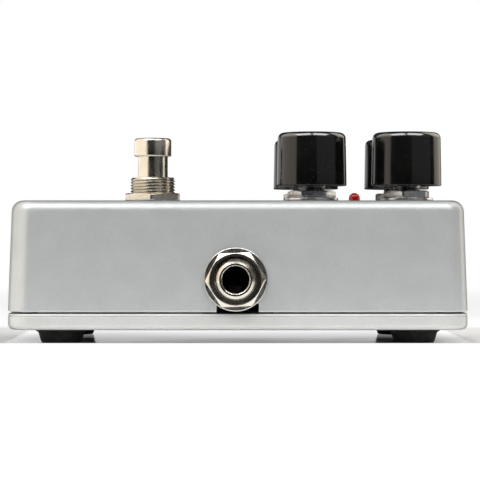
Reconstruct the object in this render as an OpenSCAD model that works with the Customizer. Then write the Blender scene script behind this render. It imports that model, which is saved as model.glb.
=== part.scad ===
// Compact guitar effects pedal: a cast box with a footswitch, four knobs, two side jacks and
// a power jack. Origin: centre of the footprint on the plane the rubber feet rest on. +X runs
// from the footswitch to the knobs, -Y is the input jack side, +Z is up.

/* [Enclosure] */
// Length of the cast shell at the seam
shell_l = 116; // [115:0.1:119]
// Width of the cast shell at the seam
shell_w = 70; // [69:0.5:74]
// Height of the cast shell above the seam
shell_h = 28; // [28:0.1:30]
// Wall thickness of the casting
wall_t = 2.2; // [2:0.1:2.3]
// Radius of the upright corners
corner_r = 5.6; // [5:0.1:6.5]
// Radius of the rounded top edge
top_edge_r = 2.9; // [2.4:0.1:3.2]
// Draft of the end walls, from seam to top
draft_end = 0.86; // [0.5:0.02:1]
// Draft of the long walls, from seam to top
draft_side = 0.46; // [0.3:0.02:0.6]
// Height of the bottom cover's visible edge
cover_h = 4.1; // [3.7:0.1:4.5]
// Thickness of the bottom cover's floor
cover_floor_t = 2; // [1.8:0.1:2.2]
// Open line between the cover and the shell
seam_gap = 0.4; // [0.2:0.05:0.5]
// Height of the rubber feet
foot_h = 3.8; // [3.5:0.1:4.4]

/* [Knobs] */
// Diameter of a knob at its foot
knob_d = 17.95; // [17.2:0.05:18.4]
// Height of a knob
knob_h = 13.7; // [13.2:0.1:14.4]
// Side draft of a knob, in degrees
knob_draft = 1; // [0.6:0.05:1.5]
// Gap from the top of the shell to the foot of a knob
knob_lift = 3.9; // [3.6:0.1:4.2]
// Distance between the two front knobs along the pedal
knob_pitch_front = 24.4; // [24:0.1:25]
// Distance between the two back knobs along the pedal
knob_pitch_back = 25.3; // [24:0.1:25.4]
// How far the back pair of knobs sits towards the end wall
knob_back_shift = 0.3; // [0:0.05:0.5]
// Distance between knobs across the pedal
knob_pitch_y = 40; // [38:0.5:41]
// Centre of the front pair of knobs, from the middle of the pedal
knob_group_x = 31.25; // [30.9:0.05:31.5]

/* [Footswitch] */
// Position of the footswitch along the pedal
switch_x = -22.8; // [-23:0.1:-22.2]
// Diameter of the threaded bushing
switch_thread_d = 12; // [11.8:0.1:12.2]
// Height of the bushing above the shell
switch_bushing_up = 6.6; // [6.2:0.1:7]
// Diameter of the button cap
button_d = 9.95; // [9.6:0.05:10.4]
// Height of the button cap
button_h = 4.8; // [4.4:0.1:5.2]
// Diameter of the button stem
stem_d = 8.05; // [7.9:0.05:8.1]
// Height of the top of the button above the shell
button_top = 17.1; // [16.8:0.1:17.4]
// Travel of the button when pressed
button_travel = 3.5; // [3:0.1:3.6]

/* [Jacks] */
// Height of the audio jack axis above the floor
jack_z = 16.5; // [16.4:0.1:16.6]
// Offset of the audio jacks from the middle of the pedal
jack_x = -0.5; // [-0.6:0.1:0.4]
// Bore that takes the audio plug
plug_bore_d = 6.6; // [6.5:0.05:6.7]
// Diameter of the threaded jack bushing
jack_thread_d = 9.6; // [9.5:0.05:9.7]
// Width of the slot in the wall behind each jack
jack_slot_w = 10.6; // [10.2:0.1:11]
// Diameter of the power plug's barrel socket
power_bore_d = 6.3; // [6:0.1:6.4]
// Diameter of the hole in the end wall for the power plug
power_hole_d = 11; // [10.5:0.1:11.5]

/* [Hidden] */

eps = 0.01;              // overlap where two cuts meet
fine_fn = 48;            // facets of hulled round corners
running_gap = 0.05;      // radial gap of turning and sliding parts

// Heights, from the floor up
cover_z = foot_h;
cover_top = cover_z + cover_h;
cover_floor = cover_z + cover_floor_t;
seam_z = cover_top + seam_gap;
shell_top = seam_z + shell_h;
ceiling_z = shell_top - wall_t;
board_t = 1.6;
board_top = 24;
board_bottom = board_top - board_t;
board_x0 = -11;
board_x1 = 53;
board_w = 62.4;

// Bottom cover and its screws
cover_bottom_r = 1.4;
cover_top_r = 0.55;
cover_wall_t = 4;
lip_play = 0.25;
lip_relief_w = 18;
boss_r = 3.6;
boss_inset = 5.2;
boss_x = shell_l / 2 - boss_inset;
boss_y = shell_w / 2 - boss_inset;
screw_r = 1.45;
screw_hole_r = 1.5;
screw_head_r = 2.8;
screw_head_h = 1.6;
screw_l = 14;
screw_thread_depth = 0.22;
screw_thread_pitch = 0.5;

// Rubber feet
foot_at = [[-45.5, -19], [45.5, -19], [-45.5, 19], [44.1, 19]];
foot_top_r = 5.95;
foot_bottom_r = 5.2;
foot_flange_r = 6.9;
foot_flange_t = 1.1;
foot_edge_r = 0.5;

// Knobs and potentiometers
knob_z = shell_top + knob_lift;
knob_edge_r = 1.5;
knob_skirt_t = 1.5;
knob_roof_t = 2;
knob_hub_r = 4.6;
knob_hub_lift = 1.9;
shaft_r = 3;
shaft_flat = 1.5;
shaft_top = knob_z + knob_h - 2.7;
pointer_w = 1.3;
pointer_depth = 0.35;
pointer_start = 2.4;
pointer_end = 6.9;
pot_r = 8.2;
pot_plate_t = 1;
pot_can_bottom = board_top + 1;
pot_can_t = 0.5;
pot_bushing_r = 3.55;
pot_thread_depth = 0.22;
pot_bushing_top = shell_top + 4.9;
pot_plate_top = ceiling_z - 0.05;
pot_plate_bottom = pot_plate_top - pot_plate_t;
pot_element_t = 1.35;
pot_element_z = pot_plate_bottom - pot_element_t - 0.05;
pot_tab_w = 11.6;
wiper_r = 6.4;
pot_pin_y = pot_r + 1.3;
pot_washer_r = 6.8;
pot_washer_t = 0.8;
pot_nut_af = 11;
pot_nut_t = 1.9;

// Footswitch
switch_r = switch_thread_d / 2;
thread_pitch = 0.75;
switch_bore_r = stem_d / 2 + running_gap;
switch_body_w = 17;
switch_thread_depth = 0.46;
frame_top = ceiling_z - 3.2;
frame_t = 1;
frame_leg_t = 0.7;
frame_leg_h = 7;
switch_flange_t = 1;
switch_flange_r = 7.4;
housing_top = frame_top - frame_t - switch_flange_t;
housing_h = 10.2;
terminal_base_t = 1.5;
terminal_base_top = housing_top - housing_h;
spring_cavity_r = 5;
collar_r = 4.7;
collar_t = 1.3;
collar_top = housing_top - 0.1;
collar_bottom = collar_top - collar_t;
spigot_r = 2.6;
spigot_l = 0.8;
cap_edge_r = 0.85;
spring_r = 3.4;
spring_wire_r = 0.3;
spring_turns = 6;
spring_solid_h = 3.7;
spring_seat_z = collar_bottom - button_travel - spring_solid_h;
rocker_l = 11.2;
rocker_w = 2;
rocker_t = 0.3;
rocker_pitch = 4.2;
rocker_tilt = 3;
switch_nut_af = 14.4;
switch_nut_t = 2;
switch_washer_t = 0.4;
switch_washer_r = 7.9;
lock_washer_t = 0.7;
lock_washer_r = 9.2;
lock_washer_z = ceiling_z - 0.02 - lock_washer_t;
lug_pitch = 5;
lug_h = 5;
lug_bottom = terminal_base_top - terminal_base_t - lug_h;
wire_riser_x = -9.6;
wire_r = 0.55;

// Audio jacks
jack_side_y = shell_w / 2;
jack_nut_af = 13.4;
jack_nut_t = 2.4;
jack_nut_turns = [2.6, 11];
jack_washer_r = 8;
jack_washer_t = 0.9;
jack_washer_y = jack_side_y - 0.03;
jack_tip_y = jack_washer_y + jack_washer_t + jack_nut_t + 1.35;
jack_body_front = 32.1;
jack_body_back = 7;
jack_cavity_back = 8.2;
jack_body_w = 15;
jack_body_h = 11.8;
jack_body_bottom = board_bottom - jack_body_h;
jack_cavity_r = 3.5;
jack_bushing_r = jack_thread_d / 2;
tip_pivot_y = 27;
tip_pivot_z = 12.3;
tip_contact_y = 12;
tip_slot_w = 4.4;
tip_leaf_w = 3;
leaf_t = 0.3;
jack_thread_depth = 0.35;
jack_thread_pitch = 0.8;
jack_lip_r = 0.7;

// Power jack
power_z = 16;
power_front = shell_l / 2 - 3.05;
power_back = 40;
power_w = 9;
power_bottom = 11.4;
power_bore_l = 9.6;
power_pin_r = 1;
power_pin_root_r = 1.3;
power_spring_z = 12.7;
power_leaf_w = 2;

// Indicator light
led_r = 1.5;
led_top = shell_top + 2.5;
led_flange_r = 1.9;
led_flange_t = 1;
led_bottom = pot_plate_top - led_flange_t;
led_lead_w = 0.4;
led_lead_x = 0.9;

// Battery
battery_w = 17.2;
battery_h = 26.2;
battery_l = 46.2;
battery_x = -44.3;
battery_y0 = -25.5;
battery_z0 = cover_floor + 0.3;
battery_mid_z = battery_z0 + battery_h / 2;
stud_l = 2.1;
stud_pitch = 12.7;
clip_w = 12.5;
clip_t = 4.6;
battery_wire_r = 0.6;
foam_t = 3.3;
foam_l = 28;
foam_h = 21;

// Parts on the circuit board
chip_l = 9.6;
chip_w = 6.4;
chip_h = 3.3;
chip_pin_pitch = 2.54;
chip_x = -9.8;
chip_y = [-15.6, 3.2];
electrolytic_r = 2.5;
electrolytic_h = 7.5;
electrolytic_at = [[4, -26], [4, 26], [5.4, -6], [5.4, 8]];
film_size = [2.6, 7.2, 6];
film_at = [[27, -10.2], [27, 3], [31.8, -10.2], [31.8, 3]];
resistor_r = 1;
resistor_l = 8;
resistor_lead_r = 0.3;
resistor_x = -9.5;
resistor_y = [-29, -22, 13, 19, 29];

// ---------- shapes used more than once ----------

function arc(cx, cy, r, a0, a1, n) = [
    for (i = [0:n]) let (a = a0 + (a1 - a0) * i / n) [cx + r * cos(a), cy + r * sin(a)]];

function rounded_rect(l, w, r, n = 8) = concat(
    arc(l / 2 - r, w / 2 - r, r, 0, 90, n),
    arc(r - l / 2, w / 2 - r, r, 90, 180, n),
    arc(r - l / 2, r - w / 2, r, 180, 270, n),
    arc(l / 2 - r, r - w / 2, r, 270, 360, n));

// Ridges of a screw thread seen in section, from z0 up to z1
function ridges(r, depth, pitch, z0, z1) = [
    for (i = [0:floor((z1 - z0) / pitch) - 1], half = [0, 1])
        [r - depth * (1 - half), z0 + (i + half / 2) * pitch]];

function bezier(p, t) =
    pow(1 - t, 3) * p[0] + 3 * pow(1 - t, 2) * t * p[1] + 3 * (1 - t) * t * t * p[2] + pow(t, 3) * p[3];
function unit(v) = v / norm(v);

module slab(l, w, r, h) linear_extrude(h) polygon(rounded_rect(l, w, r));

module at_corners(x, y) for (i = [-1, 1], j = [-1, 1]) translate([i * x, j * y, 0]) children();

// Place of a knob: i is -1 or 1 along the pedal, j is -1 at the front and 1 at the back
function knob_x(i, j) = j < 0
    ? knob_group_x + i * knob_pitch_front / 2
    : knob_group_x + knob_back_shift + i * knob_pitch_back / 2;

module at_knob(i, j) translate([knob_x(i, j), j * knob_pitch_y / 2, 0]) children();

module at_knobs() for (i = [-1, 1], j = [-1, 1]) at_knob(i, j) children();

// A jack is drawn along +Z at the origin and turned to face out of the side wall: side -1 is
// the input side
module at_jack(side) translate([jack_x, 0, jack_z]) rotate([side < 0 ? 90 : -90, 0, 0]) children();

module ring(r, hole_r, h) difference() {
    cylinder(r = r, h = h, $fn = 96);
    translate([0, 0, -1]) cylinder(r = hole_r, h = h + 2, $fn = 96);
}

// Hexagon nut with its corners turned down on both faces
module hex_nut(af, t, hole_r, turn = 0) {
    rim = af / 2 * 0.965;     // radius of the flat ring left on each face
    outer = af * 0.7;         // beyond the corners
    drop = (outer - rim) * tan(30);
    difference() {
        intersection() {
            rotate([0, 0, turn]) cylinder(r = af / sqrt(3), h = t, $fn = 6);
            rotate_extrude($fn = 96) polygon([
                [0, 0], [rim, 0], [outer, drop], [outer, t - drop], [rim, t], [0, t]]);
        }
        translate([0, 0, -1]) cylinder(r = hole_r, h = t + 2, $fn = 96);
        translate([0, 0, t - 0.3]) cylinder(r1 = hole_r, r2 = hole_r + 0.35, h = 0.31, $fn = 96);
    }
}

// Round tube that follows a list of points
module tube(path, r, sides, up) {
    n = len(path);
    rings = [
        for (i = [0:n - 1])
            let (t = unit(path[min(i + 1, n - 1)] - path[max(i - 1, 0)]))
            let (u = unit(cross(t, up)), v = cross(t, u))
                for (k = [0:sides - 1]) let (a = 360 * k / sides)
                    path[i] + r * (cos(a) * u + sin(a) * v)];
    walls = [
        for (i = [0:n - 2], k = [0:sides - 1])
            let (a = i * sides + k, b = i * sides + (k + 1) % sides)
                each [[a, b, a + sides], [b, b + sides, a + sides]]];
    ends = [
        [for (k = [sides - 1:-1:0]) k],
        [for (k = [0:sides - 1]) (n - 1) * sides + k]];
    polyhedron(rings, concat(walls, ends));
}

module wire(p, r, up = [0, 1, 0], steps = 14)
    tube([for (i = [0:steps]) bezier(p, i / steps)], r, 8, up);

// ---------- enclosure ----------

// Block with upright rounded corners, drafted walls and a rounded top edge
module cast_block(l, w, h, r, edge_r, dx, dy) hull() {
    at_corners(l / 2 - r, w / 2 - r) cylinder(r = r, h = eps, $fn = fine_fn);
    at_corners(l / 2 - r - dx, w / 2 - r - dy) translate([0, 0, h - edge_r])
        rotate_extrude($fn = fine_fn)
            polygon(concat([[0, 0]], arc(r - edge_r, 0, edge_r, 0, 90, 10), [[0, edge_r]]));
}

module shell_cavity() {
    inner_r = corner_r - wall_t;
    translate([0, 0, -eps]) cast_block(
        shell_l - 2 * wall_t, shell_w - 2 * wall_t, shell_h - wall_t,
        inner_r, 0.9, draft_end, draft_side);
}

module shell_openings() {
    at_knobs() cylinder(r = pot_bushing_r + 0.2, h = shell_h + 1, $fn = 64);
    translate([switch_x, 0, 0]) cylinder(r = switch_r + 0.15, h = shell_h + 1, $fn = 64);
    translate([knob_group_x, 0, 0]) cylinder(r = led_r + 0.1, h = shell_h + 1, $fn = 48);
    slot_top = jack_z - seam_z;
    for (side = [-1, 1]) translate([0, side * (shell_w / 2 - wall_t / 2), 0]) {
        translate([-jack_slot_w / 2, -wall_t - 0.5, -1])
            cube([jack_slot_w, 2 * wall_t + 1, slot_top + 1]);
        translate([0, wall_t + 0.5, slot_top]) rotate([90, 0, 0])
            cylinder(r = jack_slot_w / 2, h = 2 * wall_t + 1, $fn = 64);
    }
    translate([shell_l / 2 - 2 * wall_t, 0, power_z - seam_z]) rotate([0, 90, 0])
        cylinder(r = power_hole_d / 2, h = 3 * wall_t, $fn = 64);
}

module enclosure_shell() color([0.71, 0.72, 0.72]) difference() {
    translate([0, 0, seam_z]) difference() {
        cast_block(shell_l, shell_w, shell_h, corner_r, top_edge_r, draft_end, draft_side);
        difference() {
            shell_cavity();
            at_corners(boss_x, boss_y) cylinder(r = boss_r, h = shell_h, $fn = 48);
        }
        shell_openings();
    }
    at_corners(boss_x, boss_y) cylinder(r = screw_hole_r, h = cover_z + screw_l + 2, $fn = 32);
}

module cover_solid() hull() {
    at_corners(shell_l / 2 - corner_r, shell_w / 2 - corner_r) {
        translate([0, 0, cover_bottom_r]) rotate_extrude($fn = fine_fn)
            translate([corner_r - cover_bottom_r, 0]) circle(r = cover_bottom_r, $fn = 32);
        translate([0, 0, cover_h - cover_top_r]) rotate_extrude($fn = fine_fn)
            translate([corner_r - cover_top_r, 0]) circle(r = cover_top_r, $fn = 24);
    }
}

// Bottom cover: a shallow tray whose lip stands inside the shell's wall
module base_plate() color([0.82, 0.82, 0.81]) {
    lip_l = shell_l - 2 * (wall_t + lip_play);
    lip_w = shell_w - 2 * (wall_t + lip_play);
    lip_r = corner_r - wall_t;
    difference() {
        union() {
            translate([0, 0, cover_z]) cover_solid();
            difference() {
                translate([0, 0, cover_top - 1]) slab(lip_l, lip_w, lip_r, 2);
                at_corners(boss_x, boss_y) translate([0, 0, cover_top])
                    cylinder(r = boss_r + 0.3, h = 2, $fn = 48);
                for (side = [-1, 1]) translate([-lip_relief_w / 2, side * shell_w / 2 - 6, cover_top])
                    cube([lip_relief_w, 12, 3]);
            }
        }
        difference() {
            translate([0, 0, cover_floor])
                slab(shell_l - 2 * cover_wall_t, shell_w - 2 * cover_wall_t, 2, cover_h + 2);
            at_corners(boss_x, boss_y) translate([0, 0, cover_floor - eps])
                cylinder(r = boss_r + 0.3, h = cover_top - cover_floor + eps, $fn = 48);
        }
        at_corners(boss_x, boss_y) {
            cylinder(r = screw_hole_r + 0.1, h = cover_top + 5, $fn = 32);
            translate([0, 0, cover_z - eps]) cylinder(
                r1 = screw_head_r + 0.15, r2 = screw_hole_r + 0.1, h = screw_head_h + eps, $fn = 48);
        }
    }
}

// Countersunk machine screw, head at the bottom, with a cross recess
module cover_screw() difference() {
    union() {
        cylinder(r1 = screw_head_r, r2 = screw_r, h = screw_head_h, $fn = 48);
        rotate_extrude($fn = 48) polygon(concat(
            [[0, screw_head_h - 0.1], [screw_r, screw_head_h - 0.1]],
            ridges(screw_r, screw_thread_depth, screw_thread_pitch, 4, screw_l),
            [[screw_r - screw_thread_depth, screw_l], [0, screw_l]]));
    }
    for (a = [0, 90]) rotate([0, 0, a]) translate([-1.4, -0.32, -eps]) cube([2.8, 0.64, 0.9]);
}

module base_plate_screws() color([0.75, 0.75, 0.77])
    at_corners(boss_x, boss_y) translate([0, 0, cover_z + 0.05]) cover_screw();

// Stuck on by hand, so one sits a little out of line
module rubber_feet() color([0.06, 0.06, 0.06]) for (p = foot_at) translate([p[0], p[1], 0])
    rotate_extrude($fn = 96) polygon(concat(
        [[0, 0]],
        arc(foot_bottom_r - foot_edge_r, foot_edge_r, foot_edge_r, -90, -10, 5),
        [[foot_top_r, foot_h - foot_flange_t - 0.2], [foot_top_r + 0.25, foot_h - foot_flange_t + 0.25],
         [foot_flange_r - 0.2, foot_h - foot_flange_t + 0.55], [foot_flange_r, foot_h - 0.35],
         [foot_flange_r, foot_h], [0, foot_h]]));

// ---------- footswitch ----------

module footswitch_bushing() color([0.83, 0.8, 0.74]) translate([switch_x, 0, 0]) {
    top = shell_top + switch_bushing_up;
    root_r = switch_r - switch_thread_depth;
    rotate_extrude($fn = 96) polygon(concat(
        [[switch_bore_r, housing_top], [switch_flange_r, housing_top],
         [switch_flange_r, housing_top + switch_flange_t],
         [root_r, housing_top + switch_flange_t], [root_r, frame_top]],
        ridges(switch_r, switch_thread_depth, thread_pitch, frame_top, top - 0.5),
        [[root_r, top - 0.5], [root_r - 0.04, top], [switch_bore_r + 0.3, top],
         [switch_bore_r, top - 0.3]]));
}

// Folded steel strap that clamps the bushing flange onto the plastic housing
module footswitch_frame() color([0.78, 0.78, 0.78]) translate([switch_x, 0, 0]) difference() {
    union() {
        translate([0, 0, frame_top - frame_t]) slab(switch_body_w + 1.6, switch_body_w, 1, frame_t);
        for (i = [-1, 1])
            translate([i * (switch_body_w / 2 + 0.45) - frame_leg_t / 2, 2.5 - switch_body_w / 2,
                       housing_top - frame_leg_h])
                cube([frame_leg_t, switch_body_w - 5, frame_top - housing_top + frame_leg_h - 0.2]);
    }
    cylinder(r = switch_r + running_gap, h = 60, $fn = 64);
}

module footswitch_housing() color([0.1, 0.22, 0.55])
    translate([switch_x, 0, terminal_base_top]) difference() {
        slab(switch_body_w, switch_body_w, 1, housing_h + switch_flange_t);
        translate([0, 0, housing_h]) cylinder(r = switch_flange_r + 0.1, h = 3, $fn = 64);
        translate([0, 0, spring_seat_z - terminal_base_top])
            cylinder(r = spring_cavity_r, h = 20, $fn = 64);
        // room for the rocking contacts
        translate([0, 0, -eps]) slab(13.5, 13.5, 1, 1.1);
    }

module footswitch_terminal_base() color([0.35, 0.2, 0.12])
    translate([switch_x, 0, terminal_base_top - terminal_base_t])
        slab(switch_body_w, switch_body_w, 1, terminal_base_t);

module footswitch_terminals() color([0.85, 0.82, 0.7]) for (i = [-1:1], j = [-1:1])
    translate([switch_x + i * lug_pitch, j * lug_pitch, lug_bottom]) difference() {
        translate([-0.4, -1.2, 0]) cube([0.8, 2.4, lug_h]);
        translate([-1, 0, 1.6]) rotate([0, 90, 0]) cylinder(r = 0.6, h = 2, $fn = 24);
    }

// Three rocking contact strips, tilted to one side as the switch rests
module footswitch_rockers() color([0.8, 0.62, 0.3]) for (j = [-1:1])
    translate([switch_x, j * rocker_pitch, terminal_base_top + 0.5]) rotate([0, rocker_tilt, 0])
        translate([-rocker_l / 2, -rocker_w / 2, -rocker_t / 2]) cube([rocker_l, rocker_w, rocker_t]);

module footswitch_spring() color([0.75, 0.75, 0.78]) {
    z0 = spring_seat_z + spring_wire_r + 0.1;
    z1 = collar_bottom - spring_wire_r - 0.1;
    steps = spring_turns * 20;
    translate([switch_x, 0, 0]) tube([
        for (i = [0:steps]) let (a = 360 * spring_turns * i / steps)
            [spring_r * cos(a), spring_r * sin(a), z0 + (z1 - z0) * i / steps]],
        spring_wire_r, 6, [0, 0, 1]);
}

module footswitch_plunger() color([0.85, 0.82, 0.78]) translate([switch_x, 0, 0]) {
    top = shell_top + button_top;
    cap_r = button_d / 2;
    cap_z = top - button_h;
    rotate_extrude($fn = 96) polygon(concat(
        [[0, collar_bottom - spigot_l], [spigot_r, collar_bottom - spigot_l], [spigot_r, collar_bottom],
         [collar_r, collar_bottom], [collar_r, collar_top], [stem_d / 2, collar_top],
         [stem_d / 2, cap_z], [cap_r - 0.25, cap_z], [cap_r, cap_z + 0.25]],
        arc(cap_r - cap_edge_r, top - cap_edge_r, cap_edge_r, 0, 90, 8),
        [[0, top]]));
}

module footswitch_nuts() color([0.84, 0.8, 0.74]) translate([switch_x, 0, 0]) {
    translate([0, 0, shell_top + switch_washer_t])
        hex_nut(switch_nut_af, switch_nut_t, switch_r + running_gap, 30);
    translate([0, 0, lock_washer_z - 0.03 - switch_nut_t])
        hex_nut(switch_nut_af, switch_nut_t, switch_r + running_gap, 22);
}

// Flat washer above the shell and toothed lock washer below it
module footswitch_washers() color([0.8, 0.8, 0.8]) translate([switch_x, 0, 0]) {
    translate([0, 0, shell_top]) ring(switch_washer_r, switch_r + 0.1, switch_washer_t);
    translate([0, 0, lock_washer_z]) difference() {
        ring(lock_washer_r, switch_r + 0.1, lock_washer_t);
        for (a = [0:30:330]) rotate([0, 0, a]) translate([lock_washer_r - 1, -0.5, -1]) cube([2, 1, 3]);
    }
}

// Six wires from the lugs' two inner columns, down and across to the circuit board
module footswitch_wires() color([0.3, 0.3, 0.32]) for (column = [0, 1], j = [-1:1]) {
    start_x = switch_x + (1 - column) * lug_pitch;
    end_x = wire_riser_x + 2.4 * column;
    y = j * lug_pitch + 0.9 * column;
    dip = column == 0 ? 9.3 : 6.6;
    wire([[start_x, y, lug_bottom - 0.05], [start_x, y, dip - 0.6],
          [end_x, y, dip + 1], [end_x, y, board_bottom - 0.05]], wire_r);
}

// ---------- knobs and potentiometers ----------

// Radius of a knob at height z above its foot
function knob_side(z) = knob_d / 2 - z * tan(knob_draft);

// Bar with round ends that marks the top of a knob; gap is the play around it in its recess
module pointer_bar(gap, h) {
    l = pointer_end - pointer_start - 2 * gap;
    w = pointer_w - 2 * gap;
    translate([(pointer_start + pointer_end) / 2, 0, knob_h - pointer_depth])
        linear_extrude(h) polygon(rounded_rect(l, w, w / 2, 6));
}

module knob_body() {
    inner_r = knob_d / 2 - knob_skirt_t;
    hub_top = knob_h - knob_roof_t;
    edge_x = knob_side(knob_h - knob_edge_r) - knob_edge_r;
    bore_r = shaft_r + running_gap;
    bore_top = shaft_top - knob_z + 0.1;
    difference() {
        rotate_extrude($fn = 128) polygon(concat(
            [[inner_r, 0], [knob_d / 2 - 0.25, 0], [knob_side(0.25), 0.25]],
            arc(edge_x, knob_h - knob_edge_r, knob_edge_r, 0, 90, 10),
            [[0, knob_h], [0, bore_top], [bore_r, bore_top], [bore_r, knob_hub_lift],
             [knob_hub_r, knob_hub_lift], [knob_hub_r, hub_top], [inner_r - 0.4, hub_top]]));
        pointer_bar(0, 1);
    }
    // flat that keys the bore to the shaft, and the ribs that carry the hub
    intersection() {
        translate([0, 0, knob_hub_lift + 1])
            cylinder(r = shaft_r + 0.4, h = hub_top - knob_hub_lift - 1.5, $fn = 64);
        translate([-shaft_r - 1, -shaft_r - 1, 0])
            cube([shaft_r + 1 - shaft_flat - running_gap, 2 * shaft_r + 2, knob_h]);
    }
    for (a = [45:90:315]) rotate([0, 0, a])
        translate([knob_hub_r - 0.3, -0.5, 4]) cube([inner_r - knob_hub_r + 0.5, 1, hub_top - 4 + 0.5]);
}

module knob(i, j) color([0.05, 0.05, 0.05]) at_knob(i, j) translate([0, 0, knob_z]) knob_body();

module pointer(i, j) color([0.95, 0.95, 0.93]) at_knob(i, j)
    translate([0, 0, knob_z]) pointer_bar(0.02, pointer_depth);

// Shaft with a flatted end, a collar inside the bushing's foot and the wiper disc
module pot_shaft(i, j) color([0.8, 0.8, 0.8]) at_knob(i, j) difference() {
    rotate_extrude($fn = 96) polygon([
        [0, pot_can_bottom + 1], [2.2, pot_can_bottom + 1], [2.2, pot_element_z - 1.3],
        [wiper_r, pot_element_z - 1.3], [wiper_r, pot_element_z - 0.1],
        [shaft_r, pot_element_z - 0.1], [shaft_r, shaft_top - 0.5],
        [shaft_r - 0.5, shaft_top], [0, shaft_top]]);
    translate([-shaft_r - 1, -4, knob_z + knob_hub_lift]) cube([shaft_r + 1 - shaft_flat, 8, 20]);
}

module pot_cans() color([0.72, 0.73, 0.74]) for (i = [-1, 1], j = [-1, 1]) at_knob(i, j) difference() {
    translate([0, 0, pot_can_bottom])
        cylinder(r = pot_r, h = pot_plate_bottom - pot_can_bottom, $fn = 96);
    translate([0, 0, pot_can_bottom + pot_can_t]) cylinder(r = pot_r - pot_can_t, h = 20, $fn = 96);
    mirror([0, j < 0 ? 0 : 1, 0]) translate([-pot_tab_w / 2 - 0.1, 0, pot_element_z - 0.1])
        cube([pot_tab_w + 0.2, pot_r + 1, 5]);
}

module pot_bushings() color([0.8, 0.8, 0.78]) at_knobs() rotate_extrude($fn = 96) polygon(concat(
    [[shaft_r + running_gap, pot_plate_bottom], [pot_r, pot_plate_bottom], [pot_r, pot_plate_top],
     [pot_bushing_r - pot_thread_depth, pot_plate_top]],
    ridges(pot_bushing_r, pot_thread_depth, thread_pitch, pot_plate_top, pot_bushing_top - 0.3),
    [[pot_bushing_r - pot_thread_depth, pot_bushing_top - 0.3], [pot_bushing_r - 0.3, pot_bushing_top],
     [shaft_r + running_gap, pot_bushing_top]]));

// Resistive track on an insulating ring whose tab stands out of the can towards the middle of
// the pedal
module pot_elements() color([0.3, 0.16, 0.08]) for (i = [-1, 1], j = [-1, 1]) at_knob(i, j)
    translate([0, 0, pot_element_z]) difference() {
        union() {
            cylinder(r = pot_r - pot_can_t - 0.05, h = pot_element_t, $fn = 96);
            mirror([0, j < 0 ? 0 : 1, 0]) translate([-pot_tab_w / 2, 0, 0])
                cube([pot_tab_w, pot_pin_y + 0.8, pot_element_t]);
        }
        translate([0, 0, -1]) cylinder(r = shaft_r + 0.4, h = 4, $fn = 64);
    }

// Three pins per potentiometer, from its tab down to the circuit board
module pot_pins() color([0.85, 0.83, 0.75]) for (i = [-1, 1], j = [-1, 1], k = [-1:1])
    at_knob(i, j) translate([k * 4 - 0.5, -j * pot_pin_y - 0.25, board_top])
        cube([1, 0.5, pot_element_z - board_top]);

module pot_nuts() color([0.74, 0.75, 0.76]) for (i = [-1, 1], j = [-1, 1]) at_knob(i, j)
    translate([0, 0, shell_top + pot_washer_t])
        hex_nut(pot_nut_af, pot_nut_t, pot_bushing_r + running_gap, i < 0 ? 2 : 17);

module pot_washers() color([0.8, 0.8, 0.76]) at_knobs()
    translate([0, 0, shell_top]) ring(pot_washer_r, pot_bushing_r + 0.1, pot_washer_t);

// ---------- audio jacks ----------

// Housing round the plug bore, closed at its inner end; the near one is drawn, and mirrored
// for the far side
module jack_housing(side) color([0.07, 0.07, 0.07]) mirror([0, side < 0 ? 0 : 1, 0]) difference() {
    translate([jack_x - jack_body_w / 2, -jack_body_front, jack_body_bottom])
        cube([jack_body_w, jack_body_front - jack_body_back, jack_body_h]);
    at_jack(-1) translate([0, 0, jack_cavity_back])
        cylinder(r = jack_cavity_r, h = jack_side_y, $fn = 64);
    at_jack(-1) translate([0, 0, jack_body_front - 1.5])
        cylinder(r = jack_bushing_r + 0.8, h = 3, $fn = 64);
    // slot for the tip contact, and a notch in each side for the terminals
    translate([jack_x - tip_slot_w / 2, -tip_pivot_y - 0.4, jack_body_bottom - 1])
        cube([tip_slot_w, tip_pivot_y - tip_contact_y + 3.4, 5.2]);
    for (i = [-1, 1])
        translate([jack_x + i * jack_body_w / 2 - 1, 6 - jack_body_front, jack_body_bottom - 1])
            cube([2, 6, 6]);
}

// Threaded sleeve with a rolled lip round its mouth and a foot seated in the housing
module jack_bushing(side) color([0.82, 0.8, 0.74]) at_jack(side) {
    bore_r = plug_bore_d / 2;
    root_r = jack_bushing_r - jack_thread_depth;
    seat_r = jack_bushing_r + 0.7;
    thread_z = jack_body_front + 0.1;
    tip = jack_tip_y;
    rotate_extrude($fn = 96) polygon(concat(
        [[bore_r, jack_body_front - 1.4], [seat_r, jack_body_front - 1.4], [seat_r, thread_z],
         [root_r, thread_z]],
        ridges(jack_bushing_r, jack_thread_depth, jack_thread_pitch, thread_z, tip - 1.1),
        [[root_r, tip - 1.1], [jack_bushing_r, tip - 0.9]],
        arc(jack_bushing_r - jack_lip_r, tip - jack_lip_r, jack_lip_r, 0, 100, 8),
        [[bore_r + 0.42, tip - 0.45], [bore_r + 0.4, tip - 0.9], [bore_r + 0.28, tip - 0.9],
         [bore_r + 0.2, tip - 0.5], [bore_r, tip - 0.7]]));
}

module jack_nuts() color([0.78, 0.78, 0.76]) for (side = [-1, 1]) at_jack(side)
    translate([0, 0, jack_washer_y + jack_washer_t])
        hex_nut(jack_nut_af, jack_nut_t, jack_bushing_r + running_gap, jack_nut_turns[side < 0 ? 0 : 1]);

module jack_washers() color([0.84, 0.84, 0.82]) for (side = [-1, 1]) at_jack(side)
    translate([0, 0, jack_washer_y]) rotate_extrude($fn = 128) polygon([
        [jack_bushing_r + 0.1, 0], [jack_washer_r, 0], [jack_washer_r, jack_washer_t - 0.2],
        [jack_washer_r - 0.2, jack_washer_t], [jack_bushing_r + 0.1, jack_washer_t]]);

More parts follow.
